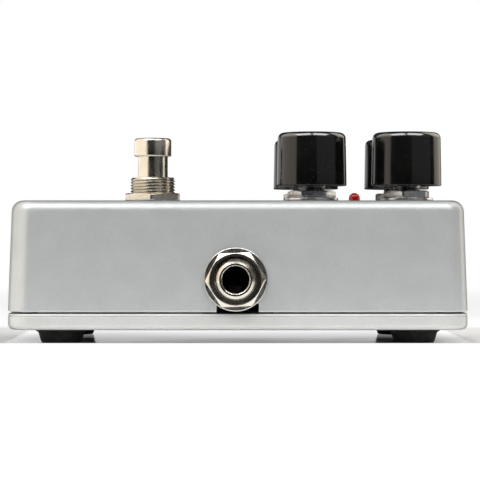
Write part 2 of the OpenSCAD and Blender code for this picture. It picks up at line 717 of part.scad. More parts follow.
// Bent leaf that presses on the tip of the plug, in the slot under the plug bore
module tip_spring(side) color([0.82, 0.72, 0.5]) mirror([0, side < 0 ? 0 : 1, 0]) {
    half_t = leaf_t / 2;
    reach = tip_pivot_y - tip_contact_y;
    translate([jack_x + tip_leaf_w / 2, -tip_pivot_y, tip_pivot_z]) rotate([0, -90, 0])
        linear_extrude(tip_leaf_w) polygon([
            [-half_t, -0.35], [half_t, -0.35], [half_t, reach - 3], [1.9, reach - 1],
            [1.9, reach - 0.4], [0.5, reach + 1.2], [0.2, reach + 1.2], [1.55, reach - 0.5],
            [1.5, reach - 0.85], [-half_t, reach - 2.8]]);
}

// Pins that carry each contact up to the circuit board
module jack_terminals() color([0.83, 0.78, 0.6]) for (side = [-1, 1], i = [-1, 1], y = [14, 22])
    translate([jack_x + i * (jack_body_w / 2 + 0.45) - 0.4, side * y - 0.6, board_bottom - 6])
        cube([0.8, 1.2, 6]);

// ---------- power jack ----------

module power_jack_housing() color([0.06, 0.06, 0.06]) difference() {
    translate([power_back, -power_w / 2, power_bottom])
        cube([power_front - power_back, power_w, board_bottom - power_bottom]);
    translate([power_front - power_bore_l, 0, power_z]) rotate([0, 90, 0])
        cylinder(r = power_bore_d / 2, h = 20, $fn = 64);
    translate([power_back - 1, 0, power_z]) rotate([0, 90, 0])
        cylinder(r = power_pin_root_r, h = 10, $fn = 48);
    // slot for the leaf
    translate([power_front - power_bore_l - 1, -power_leaf_w / 2 - 0.4, power_bottom - 1])
        cube([power_bore_l - 1, power_leaf_w + 0.8, 2.9]);
}

module power_jack_pin() color([0.85, 0.83, 0.75]) translate([power_front, 0, power_z]) rotate([0, 90, 0])
    rotate_extrude($fn = 48) polygon([
        [0, power_back - power_front - 1.5], [power_pin_root_r, power_back - power_front - 1.5],
        [power_pin_root_r, -power_bore_l], [power_pin_r, -power_bore_l], [power_pin_r, -2],
        [power_pin_r - 0.4, -1.5], [0, -1.5]]);

// Leaf under the socket that touches the plug's barrel
module power_jack_spring() color([0.82, 0.72, 0.5])
    translate([power_front - power_bore_l, power_leaf_w / 2, power_spring_z]) rotate([90, 0, 0])
        linear_extrude(power_leaf_w) polygon([
            [-0.95, -0.15], [5.4, -0.15], [6.4, 0.75], [7.1, 0.75], [7.5, 0.3],
            [7.2, 0.2], [6.9, 0.45], [6.5, 0.45], [5.5, -0.45], [-0.95, -0.45]]);

// ---------- indicator light ----------

module led_lens() color([0.75, 0.05, 0.04]) translate([knob_group_x, 0, 0])
    rotate_extrude($fn = 64) polygon(concat(
        [[0, led_bottom], [led_flange_r, led_bottom], [led_flange_r, led_bottom + led_flange_t],
         [led_r, led_bottom + led_flange_t]],
        arc(0, led_top - led_r, led_r, 0, 90, 12)));

module led_leads() color([0.8, 0.8, 0.8]) for (i = [-1, 1])
    translate([knob_group_x + i * led_lead_x - led_lead_w / 2, -led_lead_w / 2, board_top])
        cube([led_lead_w, led_lead_w, led_bottom - board_top]);

module led_spacer() color([0.1, 0.1, 0.1]) translate([knob_group_x, 0, board_top])
    ring(2.3, 1.6, led_bottom - board_top - 0.05);

// ---------- electronics ----------

// Board with its two end corners cut away round the enclosure's bosses
module circuit_board() color([0.06, 0.32, 0.16]) difference() {
    translate([(board_x0 + board_x1) / 2, 0, board_bottom])
        slab(board_x1 - board_x0, board_w, 1, board_t);
    for (j = [-1, 1]) translate([boss_x - boss_r - 0.6, j * boss_y - 8, 0]) cube([20, 16, 40]);
}

module chip_package() {
    cube([chip_l, chip_w, chip_h]);
    for (i = [0:3], j = [0, 1])
        translate([0.8 + i * chip_pin_pitch, j ? chip_w : -0.35, -0.5]) cube([0.45, 0.35, 2.2]);
}

module integrated_circuits() color([0.08, 0.08, 0.08]) for (y = chip_y)
    translate([chip_x, y, board_top + 0.5]) chip_package();

// Each can has the scored cross of its vent in its top
module electrolytic_capacitors() color([0.08, 0.1, 0.3]) for (p = electrolytic_at)
    translate([p[0], p[1], board_top]) difference() {
        cylinder(r = electrolytic_r, h = electrolytic_h, $fn = 48);
        for (a = [0, 90]) rotate([0, 0, a])
            translate([-2, -0.12, electrolytic_h - 0.2]) cube([4, 0.24, 1]);
    }

module film_capacitors() color([0.7, 0.12, 0.1]) for (p = film_at)
    translate([p[0], p[1], board_top]) cube(film_size);

module resistors() color([0.75, 0.65, 0.45]) for (y = resistor_y)
    translate([resistor_x, y, board_top + resistor_r]) rotate([0, 90, 0]) rotate_extrude($fn = 32)
        polygon([
            [0, 0], [resistor_lead_r, 0], [resistor_lead_r, 1.6], [resistor_r, 1.8], [resistor_r, 3],
            [resistor_r - 0.2, 3.3], [resistor_r - 0.2, 5], [resistor_r, 5.3], [resistor_r, 6.4],
            [resistor_lead_r, 6.6], [resistor_lead_r, resistor_l], [0, resistor_l]]);

// ---------- battery ----------

module battery() color([0.15, 0.15, 0.17]) translate([battery_x, battery_y0, battery_mid_z])
    rotate([-90, 0, 0]) slab(battery_w, battery_h, 2, battery_l);

// Snap studs on the end of the battery
module battery_terminals() color([0.8, 0.8, 0.8]) for (i = [-1, 1])
    translate([battery_x, battery_y0 + battery_l, battery_mid_z + i * stud_pitch / 2])
        rotate([-90, 0, 0])
            if (i < 0) cylinder(r = 2.8, h = stud_l, $fn = 48);
            else cylinder(r = 4, h = stud_l, $fn = 6);

module battery_clip() color([0.09, 0.09, 0.09])
    translate([battery_x, battery_y0 + battery_l, battery_mid_z]) difference() {
        translate([0, 0.1, 0]) rotate([-90, 0, 0]) slab(clip_w, 25, 4, clip_t);
        for (i = [-1, 1]) translate([0, -0.5, i * stud_pitch / 2]) rotate([-90, 0, 0])
            cylinder(r = 4.15, h = 0.5 + stud_l + 0.1, $fn = 48);
    }

// Wire from the side of the clip to a pad near the end of the circuit board
module battery_wire(z, y) {
    start = [battery_x + clip_w / 2 + 0.1, battery_y0 + battery_l + clip_t / 2 + 0.3, z];
    pad = [board_x0 + 1.1, y, board_top + battery_wire_r + 0.05];
    wire([start, start + [9.65, 0, 0], pad - [10.1, 0, 0], pad], battery_wire_r, [0, 0, 1]);
}

module battery_wire_red() color([0.75, 0.08, 0.06]) battery_wire(battery_mid_z + 2, 24);
module battery_wire_black() color([0.06, 0.06, 0.06]) battery_wire(battery_mid_z - 2, 17);

module foam_pad() color([0.2, 0.2, 0.22])
    translate([battery_x + battery_w / 2 + 0.1, -foam_l / 2, cover_floor + 3])
        cube([foam_t, foam_l, foam_h]);

// ---------- nodes ----------

enclosure_shell();
base_plate();
base_plate_screws();
rubber_feet();
footswitch_bushing();
footswitch_frame();
footswitch_housing();
footswitch_terminal_base();
footswitch_terminals();
footswitch_rockers();
footswitch_spring();
footswitch_plunger();
footswitch_nuts();
footswitch_washers();
footswitch_wires();
knob(-1, -1);  // knob_front_left
knob(1, -1);  // knob_front_right
knob(-1, 1);  // knob_back_left
knob(1, 1);  // knob_back_right
pointer(-1, -1);  // pointer_front_left
pointer(1, -1);  // pointer_front_right
pointer(-1, 1);  // pointer_back_left
pointer(1, 1);  // pointer_back_right
pot_shaft(-1, -1);  // pot_shaft_front_left
pot_shaft(1, -1);  // pot_shaft_front_right
pot_shaft(-1, 1);  // pot_shaft_back_left
pot_shaft(1, 1);  // pot_shaft_back_right
pot_cans();
pot_bushings();
pot_elements();
pot_pins();
pot_nuts();
pot_washers();
jack_housing(-1);  // input_jack_housing
jack_housing(1);  // output_jack_housing
jack_bushing(-1);  // input_jack_bushing
jack_bushing(1);  // output_jack_bushing
jack_nuts();
jack_washers();
tip_spring(-1);  // input_tip_spring
tip_spring(1);  // output_tip_spring
jack_terminals();
power_jack_housing();
power_jack_pin();
power_jack_spring();
led_lens();
led_leads();
led_spacer();
circuit_board();
integrated_circuits();
electrolytic_capacitors();
film_capacitors();
resistors();
battery();
battery_terminals();
battery_clip();
battery_wire_red();
battery_wire_black();
foam_pad();
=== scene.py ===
"""Looks of the guitar effects pedal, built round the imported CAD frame. Lengths are in millimetres until a mesh is made."""

import math

import bmesh
import bpy
from mathutils import Matrix, Vector


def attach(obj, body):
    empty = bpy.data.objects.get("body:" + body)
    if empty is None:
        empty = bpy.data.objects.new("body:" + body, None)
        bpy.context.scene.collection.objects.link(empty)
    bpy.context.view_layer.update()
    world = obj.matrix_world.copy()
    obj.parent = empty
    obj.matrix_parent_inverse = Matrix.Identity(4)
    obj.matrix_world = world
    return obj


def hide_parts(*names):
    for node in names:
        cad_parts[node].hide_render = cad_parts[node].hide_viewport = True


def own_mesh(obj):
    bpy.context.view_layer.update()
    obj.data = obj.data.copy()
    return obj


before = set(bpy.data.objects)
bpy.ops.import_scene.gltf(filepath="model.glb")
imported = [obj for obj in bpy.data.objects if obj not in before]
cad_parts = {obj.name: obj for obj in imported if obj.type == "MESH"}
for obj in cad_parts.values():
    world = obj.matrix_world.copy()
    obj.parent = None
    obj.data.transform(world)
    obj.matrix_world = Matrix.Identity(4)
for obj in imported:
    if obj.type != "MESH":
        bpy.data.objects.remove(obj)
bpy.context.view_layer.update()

MM = 0.001

# ---------- sizes of the pedal ----------

SHELL_L, SHELL_W, SHELL_H = 116.0, 70.0, 28.0
WALL, CORNER_R, TOP_EDGE_R = 2.2, 5.6, 2.9
DRAFT_END, DRAFT_SIDE = 0.86, 0.46
COVER_Z, COVER_H, COVER_FLOOR = 3.8, 4.1, 2.0
COVER_BOTTOM_R, COVER_TOP_R, SEAM_EDGE_R = 1.4, 0.5, 0.42
SEAM_GAP = 0.4
COVER_TOP = COVER_Z + COVER_H
SEAM_Z = COVER_TOP + SEAM_GAP
TOP_Z = SEAM_Z + SHELL_H
CEILING_Z = TOP_Z - WALL
BOSS_R, BOSS_INSET = 3.6, 5.2
SCREW_HOLE_R, SCREW_HEAD_R, SCREW_HEAD_H, SCREW_R, SCREW_L = 1.5, 2.8, 1.6, 1.45, 14.0
FOOT_H = COVER_Z
FOOT_AT = {"front_left": (-45.5, -19.0), "front_right": (45.5, -19.0), "back_left": (-45.5, 19.0), "back_right": (44.1, 19.0)}

SWITCH_X, SWITCH_R, SWITCH_BORE_R = -22.8, 6.0, 4.075
SWITCH_NUT_AF, SWITCH_NUT_T, SWITCH_WASHER_R, SWITCH_WASHER_T = 14.4, 2.0, 7.9, 0.4
SWITCH_UP, SWITCH_HOUSING_TOP, SWITCH_FLANGE_R = 6.6, 28.9, 7.4
STEM_R, CAP_R, CAP_H, BUTTON_TOP = 4.025, 4.975, 4.8, 17.1
PITCH, SWITCH_PITCH = 0.75, 0.79
SPRING_R, SPRING_WIRE_R, SPRING_TURNS, SPRING_SEAT_Z, COLLAR_Z, SPRING_KEEP = 3.4, 0.3, 6, 20.4, 27.5, 0.49

KNOB_GROUP_X, KNOB_PITCH_FRONT, KNOB_PITCH_BACK, KNOB_BACK_SHIFT, KNOB_PITCH_Y = 31.25, 24.4, 25.3, 0.3, 40.0
KNOB_R, KNOB_H, KNOB_DRAFT, KNOB_LIFT, KNOB_EDGE_R = 8.975, 13.7, 1.0, 3.9, 1.5
KNOB_Z = TOP_Z + KNOB_LIFT
HUB_R, HUB_LIFT, SHAFT_R, SHAFT_TOP = 4.6, 1.9, 3.0, 51.2
POINTER_W, POINTER_START, POINTER_END, POINTER_DEPTH = 1.3, 2.4, 6.9, 0.35
POT_BUSHING_R, POT_BUSHING_UP, POT_PLATE_R = 3.55, 4.9, 8.2
POT_NUT_AF, POT_NUT_T, POT_WASHER_R, POT_WASHER_T = 11.0, 1.9, 6.8, 0.8

JACK_X, JACK_Z, JACK_SLOT_W = -0.5, 16.5, 10.6
JACK_R, JACK_BORE_R, JACK_FACE = 4.8, 3.42, 34.97
JACK_NUT_AF, JACK_NUT_T, JACK_WASHER_R, JACK_WASHER_T = 13.4, 2.4, 8.0, 0.9
JACK_TIP = JACK_FACE + JACK_WASHER_T + JACK_NUT_T + 1.35
JACK_SEAT = 32.1
POWER_Z, POWER_HOLE_R, POWER_FRONT, POWER_BACK = 16.0, 5.5, 54.95, 40.0
POWER_BORE_R, POWER_BORE_L, POWER_BOTTOM, POWER_TOP, POWER_W = 3.15, 9.6, 11.4, 22.4, 9.0
POWER_PIN_R, POWER_ROOT_R, POWER_LEAF_W, POWER_LEAF_Z = 1.0, 1.3, 2.0, 12.7

LED_R, LED_UP = 1.5, 2.5

CORNERS = {"front_left": (-1, -1), "front_right": (1, -1), "back_left": (-1, 1), "back_right": (1, 1)}


def knob_at(i, j):
    """Place of a knob: i is -1 or 1 along the pedal, j is -1 at the front and 1 at the back."""
    if j < 0:
        return KNOB_GROUP_X + i * KNOB_PITCH_FRONT / 2, j * KNOB_PITCH_Y / 2
    return KNOB_GROUP_X + KNOB_BACK_SHIFT + i * KNOB_PITCH_BACK / 2, j * KNOB_PITCH_Y / 2


# ---------- mesh helpers ----------


def arc(cx, cy, r, a0, a1, n):
    """Points of a circular arc, angles in degrees."""
    steps = [math.radians(a0 + (a1 - a0) * i / n) for i in range(n + 1)]
    return [(cx + r * math.cos(a), cy + r * math.sin(a)) for a in steps]


def rounded(corners, n=5, closed=True):
    """A 2-D outline from (x, y, radius) corners, each rounded by its radius."""
    out = []
    count = len(corners)
    for k, (x, y, radius) in enumerate(corners):
        end = not closed and k in (0, count - 1)
        if radius <= 0 or end:
            out.append((x, y))
            continue
        p = Vector((x, y))
        u = Vector(corners[k - 1][:2]) - p
        v = Vector(corners[(k + 1) % count][:2]) - p
        half = u.angle(v) / 2
        reach = min(radius / math.tan(half), 0.49 * u.length, 0.49 * v.length)
        r = reach * math.tan(half)
        u.normalize()
        v.normalize()
        centre = p + (u + v).normalized() * (r / math.sin(half))
        a = p + u * reach - centre
        b = p + v * reach - centre
        a0 = math.degrees(math.atan2(a.y, a.x))
        turn = math.degrees(math.atan2(b.y, b.x)) - a0
        turn = (turn + 180) % 360 - 180
        out += arc(centre.x, centre.y, r, a0, a0 + turn, n)
    return out


def mesh_of(verts, faces):
    """A mesh in metres from millimetre points, welded, with its normals outward."""
    me = bpy.data.meshes.new("piece")
    me.from_pydata([[c * MM for c in v] for v in verts], [], faces)
    bm = bmesh.new()
    bm.from_mesh(me)
    bmesh.ops.remove_doubles(bm, verts=bm.verts, dist=1e-7)
    bmesh.ops.dissolve_degenerate(bm, edges=bm.edges, dist=1e-7)
    bmesh.ops.recalc_face_normals(bm, faces=bm.faces)
    bm.to_mesh(me)
    bm.free()
    return me


def lathe(profile, segs=128):
    """Revolves (r, z) points about Z. A profile that starts and ends on the axis is closed by it."""
    verts, rows = [], []
    for r, z in profile:
        if r < 1e-9:
            rows.append([len(verts)] * segs)
            verts.append((0, 0, z))
        else:
            rows.append(list(range(len(verts), len(verts) + segs)))
            verts += [(r * math.cos(2 * math.pi * k / segs), r * math.sin(2 * math.pi * k / segs), z) for k in range(segs)]
    on_axis = profile[0][0] < 1e-9 and profile[-1][0] < 1e-9
    pairs = list(zip(rows, rows[1:])) + ([] if on_axis else [(rows[-1], rows[0])])
    faces = []
    for a, b in pairs:
        for k in range(segs):
            ring = [a[k], a[(k + 1) % segs], b[(k + 1) % segs], b[k]]
            face = [v for i, v in enumerate(ring) if v not in ring[:i]]
            if len(face) > 2:
                faces.append(face)
    return mesh_of(verts, faces)


def loft(loops):
    """Closed solid through loops of equal length."""
    n = len(loops[0])
    verts = [p for loop in loops for p in loop]
    faces = [[i * n + k, i * n + (k + 1) % n, (i + 1) * n + (k + 1) % n, (i + 1) * n + k]
             for i in range(len(loops) - 1) for k in range(n)]
    return mesh_of(verts, faces + [list(range(n))[::-1], list(range((len(loops) - 1) * n, len(loops) * n))])


def loop(half_x, half_y, r, z, n=12):
    """Upright rounded rectangle at height z."""
    pts = []
    for i, (sx, sy) in enumerate(((1, 1), (-1, 1), (-1, -1), (1, -1))):
        pts += arc(sx * (half_x - r), sy * (half_y - r), r, 90 * i, 90 * i + 90, n)
    return [(x, y, z) for x, y in pts]


def prism(outline, z0, z1):
    return loft([[(x, y, z) for x, y in outline] for z in (z0, z1)])


def box(x0, x1, y0, y1, z0, z1):
    return prism([(x0, y0), (x1, y0), (x1, y1), (x0, y1)], z0, z1)


def moved(me, at=(0, 0, 0), turn=None):
    """The mesh, turned and then shifted by millimetres."""
    me.transform(Matrix.Translation(Vector(at) * MM) @ (turn or Matrix.Identity(4)))
    return me


def rod(r, z0, z1, at=(0, 0, 0), turn=None, segs=64):
    return moved(lathe([(0, z0), (r, z0), (r, z1), (0, z1)], segs), at, turn)


def baked(obj):
    """Replaces the object's mesh by its modifiers' result."""
    me = bpy.data.meshes.new_from_object(obj.evaluated_get(bpy.context.evaluated_depsgraph_get()))
    obj.modifiers.clear()
    obj.data = me
    return obj


def carved(base, steps):
    """Adds and cuts closed meshes in turn: steps are ("UNION" or "DIFFERENCE", mesh)."""
    obj = bpy.data.objects.new("carved", base)
    bpy.context.scene.collection.objects.link(obj)
    for operation, tool in steps:
        cutter = bpy.data.objects.new("cutter", tool)
        bpy.context.scene.collection.objects.link(cutter)
        m = obj.modifiers.new("cut", "BOOLEAN")
        m.object, m.operation, m.solver = cutter, operation, "EXACT"
        bpy.context.view_layer.update()
        baked(obj)
        bpy.data.objects.remove(cutter)
    me = obj.data
    bpy.data.objects.remove(obj)
    return me


def softened(me, width, angle=35, segments=2):
    """Rounds every edge sharper than angle."""
    obj = bpy.data.objects.new("soft", me)
    bpy.context.scene.collection.objects.link(obj)
    m = obj.modifiers.new("bevel", "BEVEL")
    m.width, m.segments, m.limit_method, m.angle_limit = width * MM, segments, "ANGLE", math.radians(angle)
    m.use_clamp_overlap = True
    m.miter_outer = "MITER_ARC"
    bpy.context.view_layer.update()
    baked(obj)
    me = obj.data
    bpy.data.objects.remove(obj)
    return me


def smooth(me, angle=32):
    for p in me.polygons:
        p.use_smooth = True
    me.set_sharp_from_angle(angle=math.radians(angle))
    return me


def piece(name, me, material, body, replaces, angle=32, weighted=False):
    """Puts a finished mesh on a CAD body, in place of the CAD nodes it stands for."""
    smooth(me, angle)
    me.materials.clear()
    me.materials.append(material)
    obj = bpy.data.objects.new(name, me)
    bpy.context.scene.collection.objects.link(obj)
    if weighted:
        m = obj.modifiers.new("normals", "WEIGHTED_NORMAL")
        m.keep_sharp = True
    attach(obj, body)
    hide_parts(*replaces)
    return obj


def ring(r, hole_r, t, edge=0.1, segs=128):
    return lathe(rounded([(hole_r, 0, edge), (r, 0, edge), (r, t, edge), (hole_r, t, edge)], 4), segs)


def hex_nut(af, t, hole_r, slope=30, edge=0.1, sink=0.35):
    """Hexagon nut with a corner on +X: the outer face turned down at slope degrees, the inner face a third as much,
    and a countersunk thread mouth."""
    segs = 144
    rim = af / 2 * 0.965
    fall = math.tan(math.radians(slope))
    profiles = []
    for k in range(segs):
        a = 360 * k / segs
        r = min(af / 2 / math.cos(math.radians((a % 60) - 30)), af / math.sqrt(3) - 0.12)
        drop = max(0.0, (r - rim) * fall)
        profiles.append([(hole_r, sink), (hole_r + sink, 0), (rim, 0), (r, drop / 3), (r, t - drop), (rim, t),
                         (hole_r + sink, t), (hole_r, t - sink)])
    rows = len(profiles[0])
    verts = [(r * math.cos(2 * math.pi * k / segs), r * math.sin(2 * math.pi * k / segs), z)
             for k, column in enumerate(profiles) for r, z in column]
    faces = [[k * rows + j, ((k + 1) % segs) * rows + j, ((k + 1) % segs) * rows + (j + 1) % rows, k * rows + (j + 1) % rows]
             for k in range(segs) for j in range(rows)]
    return softened(mesh_of(verts, faces), edge, 22, 2)


def threaded(r, depth, pitch, z0, z1, tail, segs=96, steps=8):
    """Sleeve with a helical outside thread from z0 to z1. tail continues from the top of the thread, over the mouth,
    down the bore and back to the foot of the thread."""
    rows = (int(math.ceil((z1 - z0) / pitch)) + 2) * steps + 1
    total = rows + len(tail)
    verts = []
    for k in range(segs):
        a = 2 * math.pi * k / segs
        column = []
        for row in range(rows):
            z = min(max(z0 + (row / steps - 1 + k / segs) * pitch, z0), z1)
            crest = min(1.0, max(0.0, 1.25 * abs(2 * (row / steps % 1) - 1) - 0.12))
            column.append((r - depth + min(depth * crest, (z1 - z) * 0.9, (z - z0) * 0.9), z))
        verts += [(q * math.cos(a), q * math.sin(a), z) for q, z in column + list(tail)]
    faces = []
    for k in range(segs):
        other = (k + 1) % segs
        lead = steps if other == 0 else 0  # the last column meets the first one a whole turn further on
        for j in range(total):
            n = (j + 1) % total
            c, d = n, j
            if j < rows - 1:
                c, d = min(n + lead, rows - 1), min(j + lead, rows - 1)
            face = [k * total + j, other * total + d, other * total + c, k * total + n]
            faces.append([v for i, v in enumerate(face) if v not in face[:i]])
    return mesh_of(verts, [face for face in faces if len(face) > 2])


# ---------- materials ----------


class Look:
    """A node material that grows from a Principled shader."""

    def __init__(self, name, **inputs):
        self.material = bpy.data.materials.new(name)
        self.material.use_nodes = True
        self.tree = self.material.node_tree
        self.shader = self.tree.nodes["Principled BSDF"]
        self.place = self.add("ShaderNodeTexCoord").outputs["Object"]
        self.normal = None
        for key, value in inputs.items():
            self.shader.inputs[key.replace("_", " ")].default_value = value

    def add(self, kind, values=None, **props):
        node = self.tree.nodes.new(kind)
        for key, value in props.items():
            setattr(node, key, value)
        for key, value in (values or {}).items():
            if isinstance(value, bpy.types.NodeSocket):
                self.tree.links.new(value, node.inputs[key])
            else:
                node.inputs[key].default_value = value
        return node

    def noise(self, size, detail=3.0, stretch=None):
        """Noise whose features are about size millimetres across."""
        where = self.place
        if stretch:
            where = self.add("ShaderNodeMapping", {"Vector": where, "Scale": stretch}).outputs[0]
        return self.add("ShaderNodeTexNoise", {"Vector": where, "Scale": 1 / (size * MM), "Detail": detail}).outputs["Fac"]

    def span(self, value, low, high, to_low, to_high):
        return self.add("ShaderNodeMapRange", {"Value": value, "From Min": low, "From Max": high,
                                               "To Min": to_low, "To Max": to_high}).outputs[0]

    def tint(self, factor, a, b):
        node = self.add("ShaderNodeMix", {"Factor": factor}, data_type="RGBA")
        node.inputs["A"].default_value = (*a, 1)
        node.inputs["B"].default_value = (*b, 1)
        return node.outputs["Result"]

    def blend(self, factor, a, b, mode="MIX"):
        node = self.add("ShaderNodeMix", {"Factor": factor}, data_type="RGBA", blend_type=mode)
        for key, value in (("A", a), ("B", b)):
            if isinstance(value, bpy.types.NodeSocket):
                self.tree.links.new(value, node.inputs[key])
            else:
                node.inputs[key].default_value = (*value, 1)
        return node.outputs["Result"]

    def edges(self, width, low=0.02, high=0.25):
        """1 along edges, 0 on open faces."""
        bevel = self.add("ShaderNodeBevel", {"Radius": width * MM}, samples=4).outputs[0]
        plain = self.add("ShaderNodeNewGeometry").outputs["Normal"]
        dot = self.add("ShaderNodeVectorMath", {0: bevel, 1: plain}, operation="DOT_PRODUCT").outputs["Value"]
        return self.span(dot, 1 - low, 1 - high, 0, 1)

    def hollows(self, reach, low=0.45, high=0.9):
        """1 down in grooves and corners, 0 in the open."""
        open_air = self.add("ShaderNodeAmbientOcclusion", {"Distance": reach * MM}, samples=6).outputs["AO"]
        return self.span(open_air, low, high, 1, 0)

    def slant(self):
        """0 where the surface faces the viewer, 1 where it is seen edge on."""
        return self.add("ShaderNodeLayerWeight", {"Blend": 0.5}).outputs["Facing"]

    def bump(self, height, depth, strength=1.0):
        values = {"Height": height, "Distance": depth * MM, "Strength": strength}
        if self.normal is not None:
            values["Normal"] = self.normal
        self.normal = self.add("ShaderNodeBump", values).outputs[0]
        self.tree.links.new(self.normal, self.shader.inputs["Normal"])

    def set(self, **sockets):
        for key, value in sockets.items():
            self.tree.links.new(value, self.shader.inputs[key.replace("_", " ")])
        return self


def painted(name, dark, light, metallic, rough, under=1.0, speck=0.16):
    """Satin metallic paint: a fine sparkle of flakes, a slow mottling, a slightly uneven film, paler edges that are
    partly edge wear and partly a painted highlight, and a painted shade that darkens the paint where it is seen edge
    on; under is how much of that painted shade is left where the surface faces down."""
    look = Look(name, Metallic=metallic)
    flakes = look.noise(speck, 2)
    mottle = look.noise(6, 4)
    fine = look.noise(0.6, 3)
    colour = look.tint(look.span(flakes, 0.3, 0.7, 0, 1), dark, light)
    colour = look.blend(look.span(mottle, 0.35, 0.65, 0.0, 0.35), colour, tuple(c * 0.93 for c in dark))
    # Paler along the edges: a painted highlight, partly edge wear.
    colour = look.blend(look.span(look.edges(0.55), 0, 1, 0, 0.95), colour, tuple(min(1.0, c * 1.3) for c in light))
    # Painted shade: the paint darkens where it is seen edge on, less where it faces down.
    up = look.add("ShaderNodeSeparateXYZ", {0: look.add("ShaderNodeNewGeometry").outputs["Normal"]}).outputs[2]
    turned = look.add("ShaderNodeMath", {0: look.span(look.slant(), 0.5, 0.92, 0, 0.92), 1: look.span(up, -0.3, 0.0, under, 1)},
                      operation="MULTIPLY").outputs[0]
    colour = look.blend(turned, colour, tuple(c * 0.2 for c in dark))
    look.set(Base_Color=colour, Roughness=look.span(fine, 0.3, 0.7, rough - 0.05, rough + 0.05))
    look.shader.inputs["Specular Tint"].default_value = (0.3, 0.3, 0.3, 1)
    look.bump(flakes, 0.004, 0.35)
    look.bump(fine, 0.01, 0.25)
    look.bump(mottle, 0.08, 0.15)
    return look.material


def plated(name, colour, rough=0.2, turned=0.0, tarnish=0.35, wear=True, metallic=1.0):
    """Bright nickel plate with turning lines, faint scratches, smudges, paler edges and painted shade down in the
    grooves.
    """
    look = Look(name, Metallic=metallic)
    smudge = look.noise(2.5, 4)
    pits = look.noise(0.25, 3)
    scratch = look.noise(0.5, 4, (1, 1, 9))
    dull = tuple(c * 0.72 for c in colour)
    base = look.tint(look.span(smudge, 0.42, 0.75, 0, tarnish), colour, dull)
    if wear:
        base = look.blend(look.span(look.edges(0.25), 0, 1, 0, 0.35), base, tuple(min(1, c * 1.12) for c in colour))
    # Painted shade: darker down in the grooves and corners.
    base = look.blend(look.span(look.hollows(0.45), 0, 1, 0, 0.4), base, tuple(c * 0.1 for c in colour))
    look.set(Base_Color=base, Roughness=look.span(smudge, 0.3, 0.7, rough - 0.06, rough + 0.1))
    look.bump(scratch, 0.006, 0.3)
    look.bump(pits, 0.04, 0.8)
    if turned:
        where = look.add("ShaderNodeVectorMath", {0: look.place}, operation="LENGTH").outputs["Value"]
        lines = look.add("ShaderNodeMath", {0: where, 1: 2 * math.pi / (turned * MM)}, operation="MULTIPLY").outputs[0]
        lines = look.add("ShaderNodeMath", {0: lines}, operation="SINE").outputs[0]
        look.bump(lines, 0.004, 0.3)
    return look.material


def moulded(name, colour, rough=0.35, grain=0.2, depth=0.006, dust=0.05, coat=0.0, gloss=0.5, handled=False):
    """Moulded plastic: a fine grain, small roughness changes, and a little dust in places; handled polishes the edges."""
    look = Look(name, Metallic=0.0, Specular_IOR_Level=gloss, Coat_Weight=coat, Coat_Roughness=0.15, Coat_IOR=2.2 if handled else 1.5)
    if handled:
        up = look.add("ShaderNodeSeparateXYZ", {0: look.add("ShaderNodeNewGeometry").outputs["Normal"]}).outputs[2]
        shoulder = look.add("ShaderNodeMath", {0: look.span(up, 0.1, 0.35, 0, 1), 1: look.span(up, 0.88, 0.98, 1, 0)}, operation="MULTIPLY")
        look.set(Coat_Weight=shoulder.outputs[0])
    fine = look.noise(grain, 3)
    cloud = look.noise(5, 4)
    motes = look.add("ShaderNodeTexVoronoi", {"Vector": look.place, "Scale": 1 / (0.9 * MM)}).outputs["Distance"]
    base = look.tint(look.span(cloud, 0.35, 0.7, 0, 1), colour, tuple(c * 1.25 + 0.002 for c in colour))
    base = look.blend(look.span(motes, 0.1, 0.04, 0, dust), base, (0.5, 0.49, 0.47))
    look.set(Base_Color=base, Roughness=look.span(cloud, 0.3, 0.7, rough - 0.04, rough + 0.06))
    look.bump(fine, depth, 0.5)
    return look.material


def rubber(name):
    look = Look(name, Metallic=0.0)
    fine = look.noise(0.12, 4)
    cloud = look.noise(3, 4)
    base = look.tint(look.span(cloud, 0.4, 0.75, 0, 1), (0.012, 0.012, 0.013), (0.035, 0.034, 0.033))
    look.set(Base_Color=base, Roughness=look.span(fine, 0.3, 0.7, 0.62, 0.85))
    look.bump(fine, 0.03, 0.6)
    return look.material


SILVER = painted("satin_silver", (0.625, 0.644, 0.642), (0.75, 0.77, 0.768), 0.42, 0.38, 0.0)
COVER_SILVER = painted("cover_silver", (0.735, 0.738, 0.72), (0.83, 0.835, 0.82), 0.35, 0.42)
NICKEL = plated("nickel", (0.85, 0.80, 0.71), 0.13)
NICKEL_TURNED = plated("nickel_turned", (0.87, 0.82, 0.73), 0.12, turned=0.22)
CONTACT_BRONZE = plated("contact_bronze", (0.78, 0.70, 0.56), 0.42, metallic=0.6)
POT_NICKEL = plated("pot_nickel", (0.66, 0.67, 0.68), 0.24)
WASHER_NICKEL = plated("washer_nickel", (0.80, 0.79, 0.76), 0.22, turned=0.3)
SCREW_ZINC = plated("screw_zinc", (0.70, 0.71, 0.72), 0.3)
KNOB_BLACK = moulded("knob_black", (0.0030, 0.0030, 0.0028), 0.12, 0.22, 0.006, 0.2, gloss=0.64, handled=True)
POINTER_WHITE = moulded("pointer_white", (0.82, 0.82, 0.79), 0.5, 0.3, 0.01, 0.0)
FOOT_RUBBER = rubber("foot_rubber")
BLACK_PLASTIC = moulded("black_plastic", (0.012, 0.012, 0.012), 0.45, 0.25, 0.01, 0.04)


